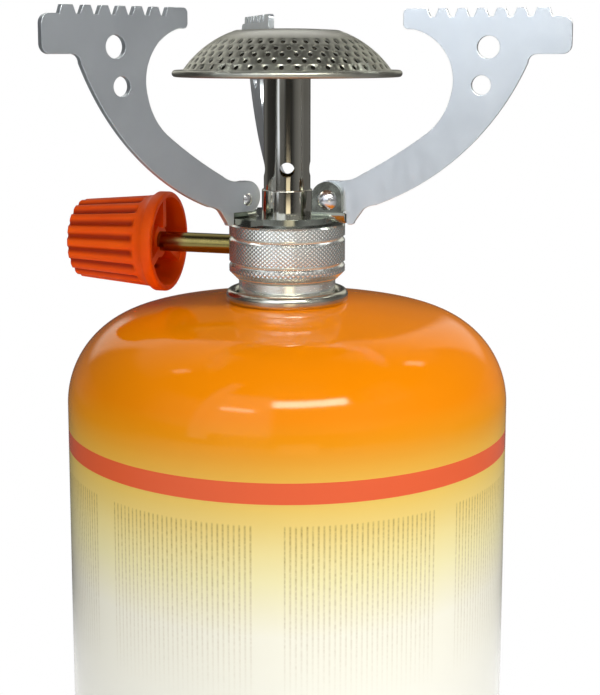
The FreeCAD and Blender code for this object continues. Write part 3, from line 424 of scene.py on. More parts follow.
def round_about(piece, count, material, axis=(0.0, 0.0, 1.0), through=(0.0, 0.0, 0.0)):
    """Repeat a piece round an axis and weld the copies."""
    return with_tree(piece, ROUND, Count=count, Axis=axis, Through=through,
                     Weld_Distance=0.004 * MM, Material=material)


# ---- materials


def surface(name, base, metallic, roughness):
    """A material with a Principled surface, its tree and its object coordinates."""
    made = bpy.data.materials.new(name)
    made.use_nodes = True
    tree = made.node_tree
    shader = tree.nodes["Principled BSDF"]
    shader.inputs["Base Color"].default_value = colour(*base)
    shader.inputs["Metallic"].default_value = metallic
    shader.inputs["Roughness"].default_value = roughness
    place = node(tree, "ShaderNodeTexCoord").outputs["Object"]
    return made, tree, shader, place


def stretched(tree, place, scale):
    """Object coordinates scaled apart along each axis."""
    return node(tree, "ShaderNodeMapping", {"Vector": place, "Scale": scale}).outputs[0]


def noise(tree, place, scale, detail):
    """Noise over a place."""
    return node(tree, "ShaderNodeTexNoise", {
        "Vector": place, "Scale": scale, "Detail": detail, "Roughness": 0.55}).outputs["Fac"]


def bump(tree, shader, level, distance):
    """Raise the surface by a level over a distance in millimetres."""
    raised = node(tree, "ShaderNodeBump", {"Height": level, "Distance": distance * MM})
    tree.links.new(raised.outputs[0], shader.inputs["Normal"])


def grained(tree, shader, fine, low, high, relief):
    """Let fine noise vary the gloss over a range of roughness and raise the surface."""
    tree.links.new(spread(tree, fine, low, high), shader.inputs["Roughness"])
    bump(tree, shader, fine, relief)


def mix_colour(tree, share, first, second):
    """Two colours mixed by a share."""
    return node(tree, "ShaderNodeMix", {0: share, 6: first, 7: second}, data_type="RGBA").outputs[2]


def mottled(tree, place, light, dark):
    """Two tones mixed by broad noise."""
    broad = spread(tree, noise(tree, place, 60.0, 3.0), 0.0, 1.0)
    return mix_colour(tree, broad, colour(*light), colour(*dark))


def metal(name, light, dark, roughness, vary=0.08, grain=(400.0, 400.0, 400.0), relief=0.002, bare=1.0):
    """Bare metal: its tone varies broadly, its gloss and its fine relief with a stretched grain."""
    made, tree, shader, place = surface(name, light, bare, roughness)
    tree.links.new(mottled(tree, place, light, dark), shader.inputs["Base Color"])
    fine = noise(tree, stretched(tree, place, grain), 1.0, 2.0)
    grained(tree, shader, fine, roughness - vary, roughness + vary, relief)
    return made


def make_plain(name, base, roughness, metallic=0.0):
    """Rubber, plastic or turned brass of the inner parts."""
    made, tree, shader, place = surface(name, base, metallic, roughness)
    grained(tree, shader, noise(tree, place, 700.0, 3.0), roughness - 0.06, roughness + 0.06, 0.01)
    return made


def make_paint():
    """Gloss print of the cartridge: orange top, red band, and a fade to gold and cream below."""
    tones = [
        # height, colour
        (60, (254, 252, 240)),
        (82, (254, 250, 232)),
        (94.6, (249, 239, 186)),
        (101, (246, 228, 158)),
        (107, (242, 213, 126)),
        (113.3, (240, 197, 90)),
        (121.5, (240, 166, 50)),
        (124.8, (243, 154, 24)),
        (130.5, (248, 142, 3)),
        (147, (250, 140, 2)),
    ]
    red, ink = colour(236, 100, 58), colour(150, 118, 52)
    made, tree, shader, place = surface("can_paint", (250, 146, 4), 0.0, 0.09)
    shader.inputs["Specular IOR Level"].default_value = 0.18
    height = parts_of(tree, place)["Z"]
    fade = ramp_of(tree, math_node(tree, "DIVIDE", height, CARTRIDGE_TOP * MM),
                   [(level / CARTRIDGE_TOP, colour(*tone)) for level, tone in tones])
    above = math_node(tree, "GREATER_THAN", height, BAND_LOW * MM)
    below = math_node(tree, "LESS_THAN", height, BAND_HIGH * MM)
    tone = mix_colour(tree, print_lines(tree, place), fade, ink)
    tone = mix_colour(tree, times(tree, above, below), tone, red)
    tree.links.new(tone, shader.inputs["Base Color"])
    bump(tree, shader, noise(tree, place, 350.0, 2.0), 0.01)
    return made


def print_lines(tree, place):
    """Share of ink of fine upright hairlines, a little uneven, in panels below the red band."""
    lines_round, panels_round, first_panel, panel_fill = 280.0, 8, 0.2, 0.85
    foot, top, soft_end, strongest = 66.0, BAND_LOW - 4.6, 0.6, 0.75
    parts = parts_of(tree, place)
    turn = math_node(tree, "ARCTAN2", parts["Y"], parts["X"])
    panel = math_node(tree, "MULTIPLY_ADD", turn, panels_round / (2 * math.pi), first_panel)
    inside = math_node(tree, "LESS_THAN", math_node(tree, "PINGPONG", panel, 0.5), panel_fill / 2)
    wave = math_node(tree, "SINE", times(tree, turn, lines_round))
    line = times(tree, inside, math_node(tree, "MAXIMUM", wave, 0.0))
    broken = spread(tree, noise(tree, stretched(tree, place, (900.0, 900.0, 1500.0)), 1.0, 2.0), 0.25, 1.0)
    under = falling(tree, parts["Z"], top * MM, (top - soft_end) * MM)
    faded = spread(tree, parts["Z"], 0.0, strongest, foot * MM, top * MM)
    return times(tree, line, broken, under, faded)


def make_knob_plastic():
    """Moulded plastic, a little uneven in gloss, with painted shade darkening the valleys between the ribs.
    """
    smooth, ribbed, outside = 36.8, 38.6, 8.95
    light, dark, painted_shade_tone = colour(252, 96, 4), colour(238, 76, 0), colour(128, 16, 0)
    made, tree, shader, place = surface("knob_plastic", (228, 82, 2), 0.0, 0.38)
    shader.inputs["Specular IOR Level"].default_value = 0.15
    parts = parts_of(tree, place)
    above = math_node(tree, "SUBTRACT", parts["Z"], SPINDLE_HEIGHT * MM)
    ahead = times(tree, parts["Y"], -1.0)
    turn = math_node(tree, "ARCTAN2", above, ahead)
    share = math_node(tree, "PINGPONG", times(tree, turn, KNOB_RIBS / math.pi), 1.0)
    # Painted shade: the valleys between the ribs on the outer skin are mixed towards a deep red.
    valley = math_node(tree, "SUBTRACT", 1.0, falling(tree, share, 0.9, 0.3))
    along = falling(tree, parts["X"], -smooth * MM, -ribbed * MM)
    reach = length_of(tree, node(tree, "ShaderNodeCombineXYZ", {"X": ahead, "Y": above}))
    skin = math_node(tree, "GREATER_THAN", reach, outside * MM)
    painted_rib_shade = times(tree, valley, along, skin)
    broad = noise(tree, place, 90.0, 3.0)
    tone = mix_colour(tree, spread(tree, broad, 0.0, 1.0), light, dark)
    tone = mix_colour(tree, times(tree, painted_rib_shade, 0.8), tone, painted_shade_tone)
    tree.links.new(tone, shader.inputs["Base Color"])
    tree.links.new(spread(tree, broad, 0.32, 0.46), shader.inputs["Roughness"])
    bump(tree, shader, noise(tree, place, 900.0, 2.0), 0.02)
    return made


def make_body_metal():
    """Bright turned metal, with painted shade darkening the valleys of the knurl."""
    turned, valley, crest = GRIP - 0.1, GRIP - 0.09, GRIP - 0.04
    made, tree, shader, place = surface("body_metal", (214, 215, 208), 0.84, 0.2)
    flat = node(tree, "ShaderNodeVectorMath", {0: place, 1: (1.0, 1.0, 0.0)}, operation="MULTIPLY")
    reach = length_of(tree, flat)
    raised = spread(tree, reach, 0.0, 1.0, valley * MM, crest * MM)
    smooth = math_node(tree, "LESS_THAN", reach, turned * MM)
    bright = mottled(tree, place, (246, 248, 242), (232, 234, 228))
    # Painted shade: the knurl's valleys take a darker grey than its crests and the smooth turned faces.
    tone = mix_colour(tree, math_node(tree, "MAXIMUM", raised, smooth),
                      colour(186, 189, 184), bright)
    tree.links.new(tone, shader.inputs["Base Color"])
    fine = noise(tree, stretched(tree, place, (400.0, 400.0, 1600.0)), 1.0, 5.0)
    grained(tree, shader, fine, 0.18, 0.26, 0.002)
    return made


def make_burner_steel():
    """Steel of the burner cap: a bright plain crown over a ported band whose darker tone is a painted dark
    reflection.
    """
    band_top = CAP_FOOT + CAP_RISE - 2.4
    crown_foot = band_top + 1.8
    made, tree, shader, place = surface("burner_steel", (206, 205, 192), 1.0, 0.33)
    bright = mottled(tree, place, (242, 241, 230), (232, 231, 219))
    # Painted dark reflection: the ported band takes the darker tone, the crown above it the bright one.
    dark = mottled(tree, place, (178, 177, 165), (164, 163, 150))
    ported = falling(tree, parts_of(tree, place)["Z"], crown_foot * MM, band_top * MM)
    tree.links.new(mix_colour(tree, ported, bright, dark), shader.inputs["Base Color"])
    grained(tree, shader, noise(tree, place, 400.0, 2.0), 0.29, 0.37, 0.002)
    return made


PAINT = make_paint()
BODY_METAL = make_body_metal()
KNOB = make_knob_plastic()
BURNER_STEEL = make_burner_steel()
TIN = metal("can_steel", (214, 213, 202), (190, 187, 170), 0.24, vary=0.03, relief=0.001)
ZINC = metal("spindle_zinc", (158, 146, 92), (124, 110, 58), 0.18, grain=(60.0, 500.0, 500.0))
ARM_STEEL = metal("support_steel", (216, 222, 227), (205, 211, 216), 0.34, vary=0.05,
                  grain=(500.0, 500.0, 160.0), relief=0.0006, bare=0.88)
BRACKET_STEEL = metal("bracket_steel", (164, 168, 159), (146, 150, 141), 0.19, relief=0.001)
EDGE_STEEL = metal("pierced_edge", (232, 232, 222), (214, 214, 204), 0.4, bare=0.2)
TUBE_STEEL = metal("tube_steel", (205, 202, 192), (190, 186, 172), 0.09, vary=0.02,
                   grain=(1800.0, 1800.0, 60.0), relief=0.0005)
PAN_STEEL = metal("pan_steel", (178, 177, 166), (162, 161, 149), 0.36, vary=0.06)
RIVET_STEEL = metal("rivet_steel", (222, 222, 224), (205, 205, 206), 0.24, vary=0.03)
# Dark sheet behind the burner's ports: painted shade inside the burner head.
SHADE_SHEET_STEEL = make_plain("burner_shade_sheet", (62, 58, 50), 0.6, 0.6)
BRASS = make_plain("brass", (205, 168, 96), 0.3, 1.0)
RUBBER = make_plain("valve_rubber", (38, 38, 38), 0.6)
ACETAL = make_plain("valve_plastic", (224, 222, 212), 0.45)

# ---- cartridge


def make_can_shell():
    """Drawn shell: flared foot, wall, shoulder, domed top and the collar inside the clinched ring."""
    foot, foot_height, flare_top = 53.9, 3.2, 6.4
    collar, collar_top = 13.75, CUP_SEAT + 1.7
    mouth, inside = collar - CAN_WALL, CAN_RADIUS - CAN_WALL
    join = SHOULDER_REACH * CROWN / (CROWN - SHOULDER)
    inner_join = SHOULDER_REACH * (CROWN - CAN_WALL) / (CROWN - SHOULDER)
    shell = lathe("cartridge_shell", trace([
        (foot, foot_height),
        (CAN_RADIUS, flare_top),
        (CAN_RADIUS, SHOULDER_HEIGHT),
        (join, crown_height(join), SHOULDER, "left"),
        (collar, crown_height(collar), CROWN, "left"),
        (collar, collar_top),
        (mouth, collar_top),
        (mouth, crown_height(mouth, CAN_WALL)),
        (inner_join, crown_height(inner_join, CAN_WALL), CROWN - CAN_WALL, "right"),
        (inside, SHOULDER_HEIGHT, SHOULDER - CAN_WALL, "right"),
        (inside, flare_top),
        (foot - CAN_WALL, foot_height),
    ], step=3.0), sides=192)
    finish(shell, PAINT, "canister", ["can_shell"])


def make_valve_cup():
    """Valve cup: clinched ring, trough and pedestal, pressed from one sheet."""
    curl, curl_foot = 1.35, CUP_SEAT + 1.7
    ring = CUP_RADIUS - 2 * curl
    tuck, tuck_height, tuck_bend = 0.35, CUP_SEAT + 0.9, 1.3
    side_top, top_bend = CUP_SEAT + 1.5, 1.5
    hollow, hollow_top = 0.42, CUP_SEAT + 2.38
    trough, bend = CARTRIDGE_TOP - 9.3, 1.0
    edge, mouth = 0.8, 2.2
    outside = [
        (CUP_RADIUS - tuck, CUP_SEAT),
        (CUP_RADIUS, tuck_height, tuck_bend, "left"),
        (CUP_RADIUS, side_top),
        (CUP_RADIUS - curl, curl_foot + curl, top_bend, "left"),
        (ring, curl_foot, top_bend, "left"),
        (ring, trough + bend),
        (ring - bend, trough, bend, "right"),
        (PEDESTAL + bend, trough),
        (PEDESTAL, trough + bend, bend, "right"),
        (PEDESTAL, CARTRIDGE_TOP - edge),
        (PEDESTAL - edge, CARTRIDGE_TOP, edge, "left"),
        (mouth, CARTRIDGE_TOP),
    ]
    underside = [
        (mouth, CARTRIDGE_TOP - CUP_SHEET),
        (PEDESTAL - edge, CARTRIDGE_TOP - CUP_SHEET),
        (PEDESTAL - CUP_SHEET, CARTRIDGE_TOP - edge),
        (PEDESTAL - CUP_SHEET, trough + bend),
        (PEDESTAL + bend, trough - CUP_SHEET),
        (ring - bend, trough - CUP_SHEET),
        (ring + CUP_SHEET, trough + bend),
        (ring + CUP_SHEET, curl_foot),
        (ring + CUP_SHEET + hollow, hollow_top),
        (CUP_RADIUS - CUP_SHEET - hollow, hollow_top),
        (CUP_RADIUS - CUP_SHEET, curl_foot),
        (CUP_RADIUS - CUP_SHEET, CUP_SEAT),
    ]
    cup = lathe("valve_cup", trace(outside + underside))
    finish(cup, TIN, "canister", ["mounting_cup"])


# ---- valve body


def band_rows(low, high, cell=0.52):
    """Rows of the knurl up a band of the grip, about a cell apart."""
    count = round((high - low) / cell)
    return [(GRIP, low + (high - low) * i / count) for i in range(count + 1)]


def grip_groove(below, above, floor=13.7):
    """Groove from the top of one band to the foot of the next."""
    return [(GRIP - 0.05, below + 0.2), (GRIP - 0.2, below + 0.45), (floor, below + 1.05), (floor, above)]


def make_valve_body():
    """Turned body with three knurled bands, bored for the spindle's gland."""
    mouth, flare, neck, neck_edge = CARTRIDGE_TOP - 7.8, 0.8, 12.1, 0.5
    socket, socket_top = PEDESTAL + 0.05, CARTRIDGE_TOP + 1.8
    pin, pin_top = 1.2, socket_top + 2.2
    jet, jet_foot = 1.95, SPIGOT_TOP - 3.8
    seat, seat_top, edge = 8.0, BODY_TOP + SEAT_HEIGHT, 0.4
    cells = 76
    low_band, middle_band, top_band = (154.7, 155.95), (157.3, 162.3), (163.7, BODY_TOP - edge)
    profile, rows = [], []

    def add(points, knurled=False):
        """Carry the outline on; knurled points get row numbers from 2 up."""
        for index, point in enumerate(points):
            profile.append(point)
            rows.append(index + 2 if knurled else 0)

    add([(socket + flare, mouth), (neck - neck_edge, mouth), (neck, mouth + neck_edge),
         (neck, mouth + 7.2), (neck + 0.8, mouth + 7.9)])
    cone = [(13.0, 153.25), (13.5, 153.7), (14.0, 154.2)]
    add(cone + band_rows(*low_band), True)
    add(grip_groove(low_band[1], middle_band[0]))
    add(band_rows(*middle_band), True)
    add(grip_groove(middle_band[1], top_band[0]))
    add(band_rows(*top_band), True)
    add([(GRIP - edge, BODY_TOP), (seat, BODY_TOP), (seat, seat_top), (SPIGOT, seat_top),
         (SPIGOT, SPIGOT_TOP), (jet, SPIGOT_TOP), (jet, jet_foot), (0.0, jet_foot),
         (0.0, pin_top), (pin, pin_top), (pin, socket_top), (socket, socket_top),
         (socket, mouth + flare)])
    body = lathe("valve_body_turned", profile, sides=2 * cells)
    numbers = []
    for (radius, _), row in zip(profile, rows):
        numbers += [float(row)] * (1 if radius < 1e-6 else 2 * cells)
    attribute = body.data.attributes.new("grip_row", "FLOAT", "POINT")
    attribute.data.foreach_set("value", numbers)
    split_along_valleys(body.data, cells)
    body = with_tree(body, KNURL, Cells_Round=float(cells), Depth=0.095 * MM,
                     Weld_Distance=0.001 * MM, Material=BODY_METAL)
    gland, gland_foot, past_grip = 3.4, 11.0, 16.0
    pocket = lathe("pocket", [
        (0.0, gland_foot), (gland, gland_foot), (gland, past_grip), (0.0, past_grip)], 48, "x")
    cut(body, [welded(pocket)])
    finish(body, BODY_METAL, "stove", ["valve_body"], angle=15.0)


def split_along_valleys(mesh, cells):
    """Split each square of a knurled band along the line between its two low corners."""
    work = bmesh.new()
    work.from_mesh(mesh)
    layer = work.verts.layers.float["grip_row"]
    for face in [f for f in work.faces if len(f.verts) == 4 and all(v[layer] > 0.5 for v in f.verts)]:
        low = []
        for corner in face.verts:
            step = round(math.atan2(corner.co.y, corner.co.x) * cells / math.pi + corner[layer])
            if step % 2:
                low.append(corner)
        if len(low) == 2:
            bmesh.utils.face_split(face, low[0], low[1])
    work.to_mesh(mesh)
    work.free()


# ---- tube and burner head


def make_sleeve():
    """Sleeve round the foot of the tube."""
    sleeve, top, edge = 6.3, BRACKET_TOP + 6.3, 0.3
    piece = lathe("sleeve", trace([
        (SPIGOT, BRACKET_TOP),
        (sleeve, BRACKET_TOP),
        (sleeve, top - edge),
        (sleeve - edge, top, edge, "left"),
        (TUBE, top),
        (TUBE, SPIGOT_TOP),
        (SPIGOT, SPIGOT_TOP),
    ]), sides=96)
    finish(piece, TUBE_STEEL, "stove", ["tube_sleeve"])


def make_tube():
    """Mixing tube, drilled right through twice for its four air holes."""
    inside, drill, reach, hole_height, first = TUBE - TUBE_WALL, 1.83, 8.0, SPIGOT_TOP + 7.9, 17.4
    tube = lathe("tube", [
        (inside, SPIGOT_TOP), (TUBE, SPIGOT_TOP), (TUBE, TUBE_TOP), (inside, TUBE_TOP)], sides=96)
    tools = []
    for turn in (first, first + 90.0):
        tool = lathe("drill", [(0.0, -reach), (drill, -reach), (drill, reach), (0.0, reach)], 40)
        welded(tool).data.transform(
            Matrix.Rotation(math.radians(turn), 4, "Z")
            @ Matrix.Translation((0, 0, hole_height * MM))
            @ Matrix.Rotation(math.radians(90), 4, "X"))
        tools.append(tool)
    cut(tube, tools)
    finish(tube, TUBE_STEEL, "stove", ["mixing_tube"], angle=30.0)


def make_pan():
    """Lower dish of the burner head, with its collar on the tube and its rounded rim."""
    inside, outside, half, bead_rise = 26.55, 27.45, 0.85, 0.7
    bead, floor, collar_top = PAN_FOOT + bead_rise, PAN_FOOT + PAN_SHEET, PAN_FOOT + 2.2
    low = inside - math.sqrt(half**2 - bead_rise**2)
    high = inside - math.sqrt(half**2 - (bead_rise - PAN_SHEET) ** 2)
    pan = lathe("pan", trace([
        (TUBE, PAN_FOOT),
        (low, PAN_FOOT),
        (inside, bead - half, half, "left"),
        (outside, bead - half),
        (outside + half, bead, half, "left"),
        (outside, bead + half, half, "left"),
        (inside, bead + half),
        (high, floor, half, "left"),
        (TUBE + PAN_SHEET, floor),
        (TUBE + PAN_SHEET, collar_top),
        (TUBE, collar_top),
    ], step=15.0), sides=160)
    finish(pan, PAN_STEEL, "stove", ["burner_pan"])


def band_point(height):
    """Radius of the cap's perforated band at a height above its foot."""
    half = math.hypot(CAP_REACH - CAP_FLAT, CAP_RISE) / 2
    across = math.sqrt(CAP_BEND**2 - half**2)
    run = Vector((CAP_FLAT - CAP_REACH, CAP_RISE)).normalized()
    centre = Vector(((CAP_REACH + CAP_FLAT) / 2, CAP_RISE / 2)) + Vector((-run.y, run.x)) * across
    return centre.x + math.sqrt(CAP_BEND**2 - (height - centre.y) ** 2)


def make_port_sector():
    """One column of the cap's band, with its round ports and their rolled lips."""
    rows, pitch, first, sides = 5, 1.5, 1.0, 24
    hole, lip, sunk, slant = 0.56, 0.76, 0.13, 0.93
    half = 180.0 / PORT_COLUMNS
    levels = [first - pitch / 2 + pitch * step for step in range(rows + 1)]
    vertices, faces, index = [], [], {}

    def point(turn, height, radius=None):
        """Number of the vertex there, which neighbours share."""
        reach = band_point(height) if radius is None else radius
        angle = math.radians(turn)
        key = (round(turn, 5), round(height, 5), round(reach, 4))
        if key not in index:
            index[key] = len(vertices)
            vertices.append((reach * math.cos(angle), reach * math.sin(angle), CAP_FOOT + height))
        return index[key]

    def strip(low, high):
        """Plain surface between two heights, in quarter cells."""
        turns = [-half, -half / 2, 0.0, half / 2, half]
        for left, right in zip(turns, turns[1:]):
            faces.append((point(left, low), point(right, low), point(right, high), point(left, high)))

    def port(row, centre):
        """One cell with a round hole, or the half of it that lies in the sector."""
        middle = first + pitch * row
        reach = band_point(middle)
        edge, roll, cell = [], [], []
        for step in range(sides + 1):
            angle = 2 * math.pi * step / sides
            across, up = math.sin(angle), -math.cos(angle)
            height = middle + hole * up * slant
            edge.append((centre + math.degrees(hole * across / reach), height - sunk * 0.6,
                         band_point(height) - sunk * 0.8))
            roll.append((centre + math.degrees(lip * across / reach), middle + lip * up * slant))
            longest = max(abs(across), abs(up))
            cell.append((centre + half * across / longest, middle + pitch / 2 * up / longest))
        for near, far in ((edge, roll), (roll, cell)):
            for step in range(sides):
                corners = [near[step], near[step + 1], far[step + 1], far[step]]
                if all(-half - 1e-6 <= corner[0] <= half + 1e-6 for corner in corners):
                    faces.append(tuple(point(*corner) for corner in corners))

    for row in range(rows):
        for centre in (-half, half) if row % 2 else (0.0,):
            port(row, centre)
    strip(0.0, levels[0])
    plain = [levels[-1] + (CAP_RISE - levels[-1]) * i / 4 for i in range(5)]
    for low, high in zip(plain, plain[1:]):
        strip(low, high)
    return mesh_object("port_sector", vertices, faces)


def make_burner_cap():
    """Perforated band, plain crown and skirt of the burner cap, pressed from one sheet."""
    sheet, rise, steps = 0.5, 0.4, 6
    crown = dish_radius(CAP_FLAT, rise)
    crown_foot = CAP_FOOT + CAP_RISE - math.sqrt(crown**2 - CAP_FLAT**2)
    radii = [CAP_FLAT * (1 - i / steps) for i in range(steps + 1)]
    columns, seam = 4 * PORT_COLUMNS, -180 / PORT_COLUMNS
    band = round_about(make_port_sector(), PORT_COLUMNS, BURNER_STEEL)
    edge = [(CAP_REACH, CAP_FOOT - CAP_SKIRT), (CAP_REACH, CAP_FOOT)]
    dome = [(r, crown_foot + math.sqrt(crown**2 - r**2)) for r in radii]
    skirt = lathe("cap_skirt", edge, columns, closed=False, first=seam)
    lid = lathe("cap_lid", dome, columns, closed=False, first=seam)
    cap = welded(joined("burner_cap_pressed", [band, skirt, lid]), 0.02)
    cap.data.materials.append(BURNER_STEEL)
    cap.data.materials.append(EDGE_STEEL)
    for face in cap.data.polygons:
        face.material_index = 0
    solid = cap.modifiers.new("sheet", "SOLIDIFY")
    solid.thickness = sheet * MM
    solid.offset = -1.0
    solid.material_offset_rim = 1
    evaluated(cap)
    finish(cap, None, "stove", ["burner_cap"], angle=40.0)


def make_shade_sheet():
    """Dark sheet close behind the ports, put there as painted shade inside the burner head."""
    gap, sheet, top = 1.3, 0.25, CAP_FOOT + CAP_RISE
    steps = [CAP_RISE * i / 8 for i in range(8)]
    outer = [(CAP_REACH - gap, CAP_FOOT - CAP_SKIRT)]
    outer += [(band_point(height) - gap, CAP_FOOT + height) for height in steps]
    outer += [(CAP_FLAT - gap, top - 0.9), (0.0, top - 0.7)]
    inner = [(max(r - sheet, 0.0), z - (sheet if r < 13 else 0.0)) for r, z in reversed(outer)]
    shade_liner = lathe("inner_shade_sheet", outer + inner, sides=96)
    finish(welded(shade_liner), SHADE_SHEET_STEEL, "stove", angle=50.0)


# ---- knob


def knob_body_radius(along):
    """Crests of the ribs, which taper from the flare to the closed end."""
    root, nose, nose_start = 11.7, 10.2, KNOB_END - 0.6
    return root - (root - nose) * (along - KNOB_FLARE) / (nose_start - KNOB_FLARE)


def make_knob_profile():
    """Outer and inner outline of the knob, and the points of the inner one."""
    wall, end_wall, round_off = 1.4, 2.0, 0.6
    root, nose, flange, flange_width, flare_bend = 11.7, 10.2, 12.8, 2.6, 4.5
    hub, hub_face, hub_floor = 4.2, KNOB_RIM + 2.5, KNOB_RIM + 21.5
    stations = (54.0, 51.0, 48.0, 45.0, 42.0, 40.0, 38.8, 38.2, 37.7, 37.3, 37.12)
    closed_end = trace([
        (0.0, KNOB_END), (nose - round_off, KNOB_END),
        (nose, KNOB_END - round_off, round_off, "right")], step=18.0)
    body = [(knob_body_radius(along), along) for along in stations]
    flare = arc_points((root, KNOB_FLARE), (flange, KNOB_RIM + flange_width), flare_bend, "left")
    rim = trace([
        (flange, KNOB_RIM + round_off), (flange - round_off, KNOB_RIM, round_off, "right")], step=20.0)
    inside = [
        (flange - wall, KNOB_RIM), (root - wall, KNOB_FLARE), (nose - wall, KNOB_END - end_wall),
        (hub, KNOB_END - end_wall), (hub, hub_face), (SPINDLE, hub_face),
        (SPINDLE, hub_floor), (0.0, hub_floor)]
    return closed_end + body + [(root, KNOB_FLARE)] + flare + rim + inside, inside


def make_knob():
    """Moulded knob: one rib's sector repeated round, with three webs inside."""
    profile, inside = make_knob_profile()
    core, crest, valley_end, depth, sag, run_out = 7.0, 0.2, 0.92, 0.85, 0.15, 1.3

    def ribbed(radius, along, angle):
        """Radius of the skin beside a rib; the valleys run out into the flare."""
        if along <= KNOB_FLARE or radius < core or (radius, along) in inside:
            return radius
        share = abs(angle) / math.radians(180 / KNOB_RIBS)
        fall = min(max((share - crest) / (valley_end - crest), 0.0), 1.0)
        sunk = depth * fall**2 * (3 - 2 * fall) + sag * share**2
        grown = min((along - KNOB_FLARE) / run_out, 1.0)
        return min(radius, knob_body_radius(along) - sunk * grown * (2 - grown))

    axis, through = (1.0, 0.0, 0.0), (0.0, 0.0, SPINDLE_HEIGHT * MM)
    sector = lathe("knob_sector", profile, 16, "x", 360 / KNOB_RIBS, ribbed)
    shell = round_about(sector, KNOB_RIBS, KNOB, axis, through)
    foot, near, far, half = 3.7, 33.0, 54.5, 1.0
    outline = [(near, foot), (far, foot), (far, 9.2), (KNOB_FLARE, 10.6), (near, 11.4)]
    web = extruded("web", outline, -half, half,
                   lambda along, reach, side: (-along, side, SPINDLE_HEIGHT + reach))
    webs = round_about(welded(web), 3, KNOB, axis, through)
    knob = joined("knob_moulded", [shell, webs])
    finish(knob, KNOB, "control", ["knob"], angle=40.0)


# ---- bracket, pot supports and rivets


def make_plates():
    """Stamped bracket and the three pot supports."""
    broad_face = 12.0
    bracket = rounded_copy("support_bracket", "bracket_stamped", 0.14)
    finish(bracket, BRACKET_STEEL, "stove", ["support_bracket"], angle=20.0,
           flat_from=broad_face)
    for number in (1, 2, 3):
        arm = rounded_copy(f"pot_support_{number}", f"support_arm_{number}", 0.12)
        finish(arm, ARM_STEEL, f"support_{number}", [f"pot_support_{number}"],
               angle=20.0, flat_from=broad_face)


def make_rivets():
    """The rivets of the pot supports: domed head on the ear, peened end on the arm."""
    shank, side = 1.1, ARM_SHEET / 2 + 0.1
    tail, tail_flat, tail_height = 1.5, 0.75, 0.5
    head, head_height, head_round, back = 2.5, 1.6, 0.15, side + BRACKET_SHEET
    profile = trace([
        (0.0, -side - tail_height),
        (tail_flat, -side - tail_height),
        (tail, -side),
        (shank, -side),
        (shank, back),
        (head - head_round, back),
        (head, back + head_round, head_round, "left"),
        (0.0, back + head_height, dish_radius(head, head_height), "left"),
    ], step=10.0)
    rivet = lathe("rivet", profile, 40)
    rivet.data.transform(
        Matrix.Translation((PIVOT_REACH * MM, -ARM_OFFSET * MM, PIVOT_HEIGHT * MM))
        @ Matrix.Rotation(math.radians(90), 4, "X"))
    rivets = round_about(rivet, 3, RIVET_STEEL)
    rivets.name = "rivets"
    finish(rivets, RIVET_STEEL, "stove", ["rivet_1", "rivet_2", "rivet_3"])


def dress_nodes():
    """Give the CAD solids that stay in view their materials."""
    looks = {
        "can_base": TIN, "can_valve_gasket": RUBBER, "can_valve_housing": ACETAL,
        "can_valve_plunger": ACETAL, "can_valve_spring": TIN, "inlet_oring": RUBBER,
        "actuator_pin": BRASS, "jet": BRASS, "spindle_gland": BRASS, "spindle_oring": RUBBER,
        "valve_spindle": ZINC}
    for name, look in looks.items():
        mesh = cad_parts[name].data
        mesh.materials.clear()
        mesh.materials.append(look)


# ---- stage, light and camera


CAMERA_SIDE = -72.4  # direction of the camera round the object, in degrees from +X
WHITE = (1.0, 1.0, 1.0, 1.0)


def seen_rays(tree):
    """1 for rays to the eye, in reflections and through clear materials."""
    rays = node(tree, "ShaderNodeLightPath")
    mirrored = math_node(tree, "MAXIMUM", rays.outputs["Is Glossy Ray"], rays.outputs["Is Transmission Ray"])
    return math_node(tree, "MAXIMUM", rays.outputs["Is Camera Ray"], mirrored)


def blank_material(name):
    """A material with an empty tree, the tree and its object coordinates."""
    made = bpy.data.materials.new(name)
    made.use_nodes = True
    tree = made.node_tree
    tree.nodes.clear()
    return made, tree, node(tree, "ShaderNodeTexCoord").outputs["Object"]


def make_floor():
    """Pale floor that takes the shadow and runs out into white; mirrored, it thins out to nothing."""
    shadow_core, shadow_edge, mirror_edge, radius = 60.0, 110.0, 215.0, 450.0
    made, tree, place = blank_material("floor")
    tone = mix_colour(tree, noise(tree, place, 4.0, 2.0), (0.86, 0.86, 0.86, 1.0), (0.84, 0.84, 0.84, 1.0))
    matt = node(tree, "ShaderNodeBsdfDiffuse", {"Color": tone})
    white = node(tree, "ShaderNodeEmission", {"Color": WHITE})
    reach = length_of(tree, place)
    near = falling(tree, reach, shadow_edge * MM, shadow_core * MM)
    share = times(tree, seen_rays(tree), math_node(tree, "SUBTRACT", 1.0, near))
    mixed = node(tree, "ShaderNodeMixShader", {0: share, 1: matt, 2: white})
    clear = node(tree, "ShaderNodeBsdfTransparent")
    mirrored = node(tree, "ShaderNodeLightPath").outputs["Is Glossy Ray"]
    held = math_node(tree, "MAXIMUM", falling(tree, reach, mirror_edge * MM, shadow_edge * MM),
                     math_node(tree, "SUBTRACT", 1.0, mirrored))
    thinned = node(tree, "ShaderNodeMixShader", {0: held, 1: clear, 2: mixed})
    node(tree, "ShaderNodeOutputMaterial", {0: thinned})
    floor = lathe("floor", [(radius, 0.0), (0.0, 0.0)], 96, closed=False)
    floor.data.materials.append(made)


def make_world():
    """White surround for the eye and in reflections, soft fill for the rest."""
    world = bpy.data.worlds.new("studio")
    bpy.context.scene.world = world
    world.use_nodes = True
    tree = world.node_tree
    tree.nodes.clear()
    fill = node(tree, "ShaderNodeBackground", {"Color": WHITE, "Strength": 0.22})
    white = node(tree, "ShaderNodeBackground", {"Color": WHITE})
    mixed = node(tree, "ShaderNodeMixShader", {0: seen_rays(tree), 1: fill, 2: white})
    node(tree, "ShaderNodeOutputWorld", {0: mixed})


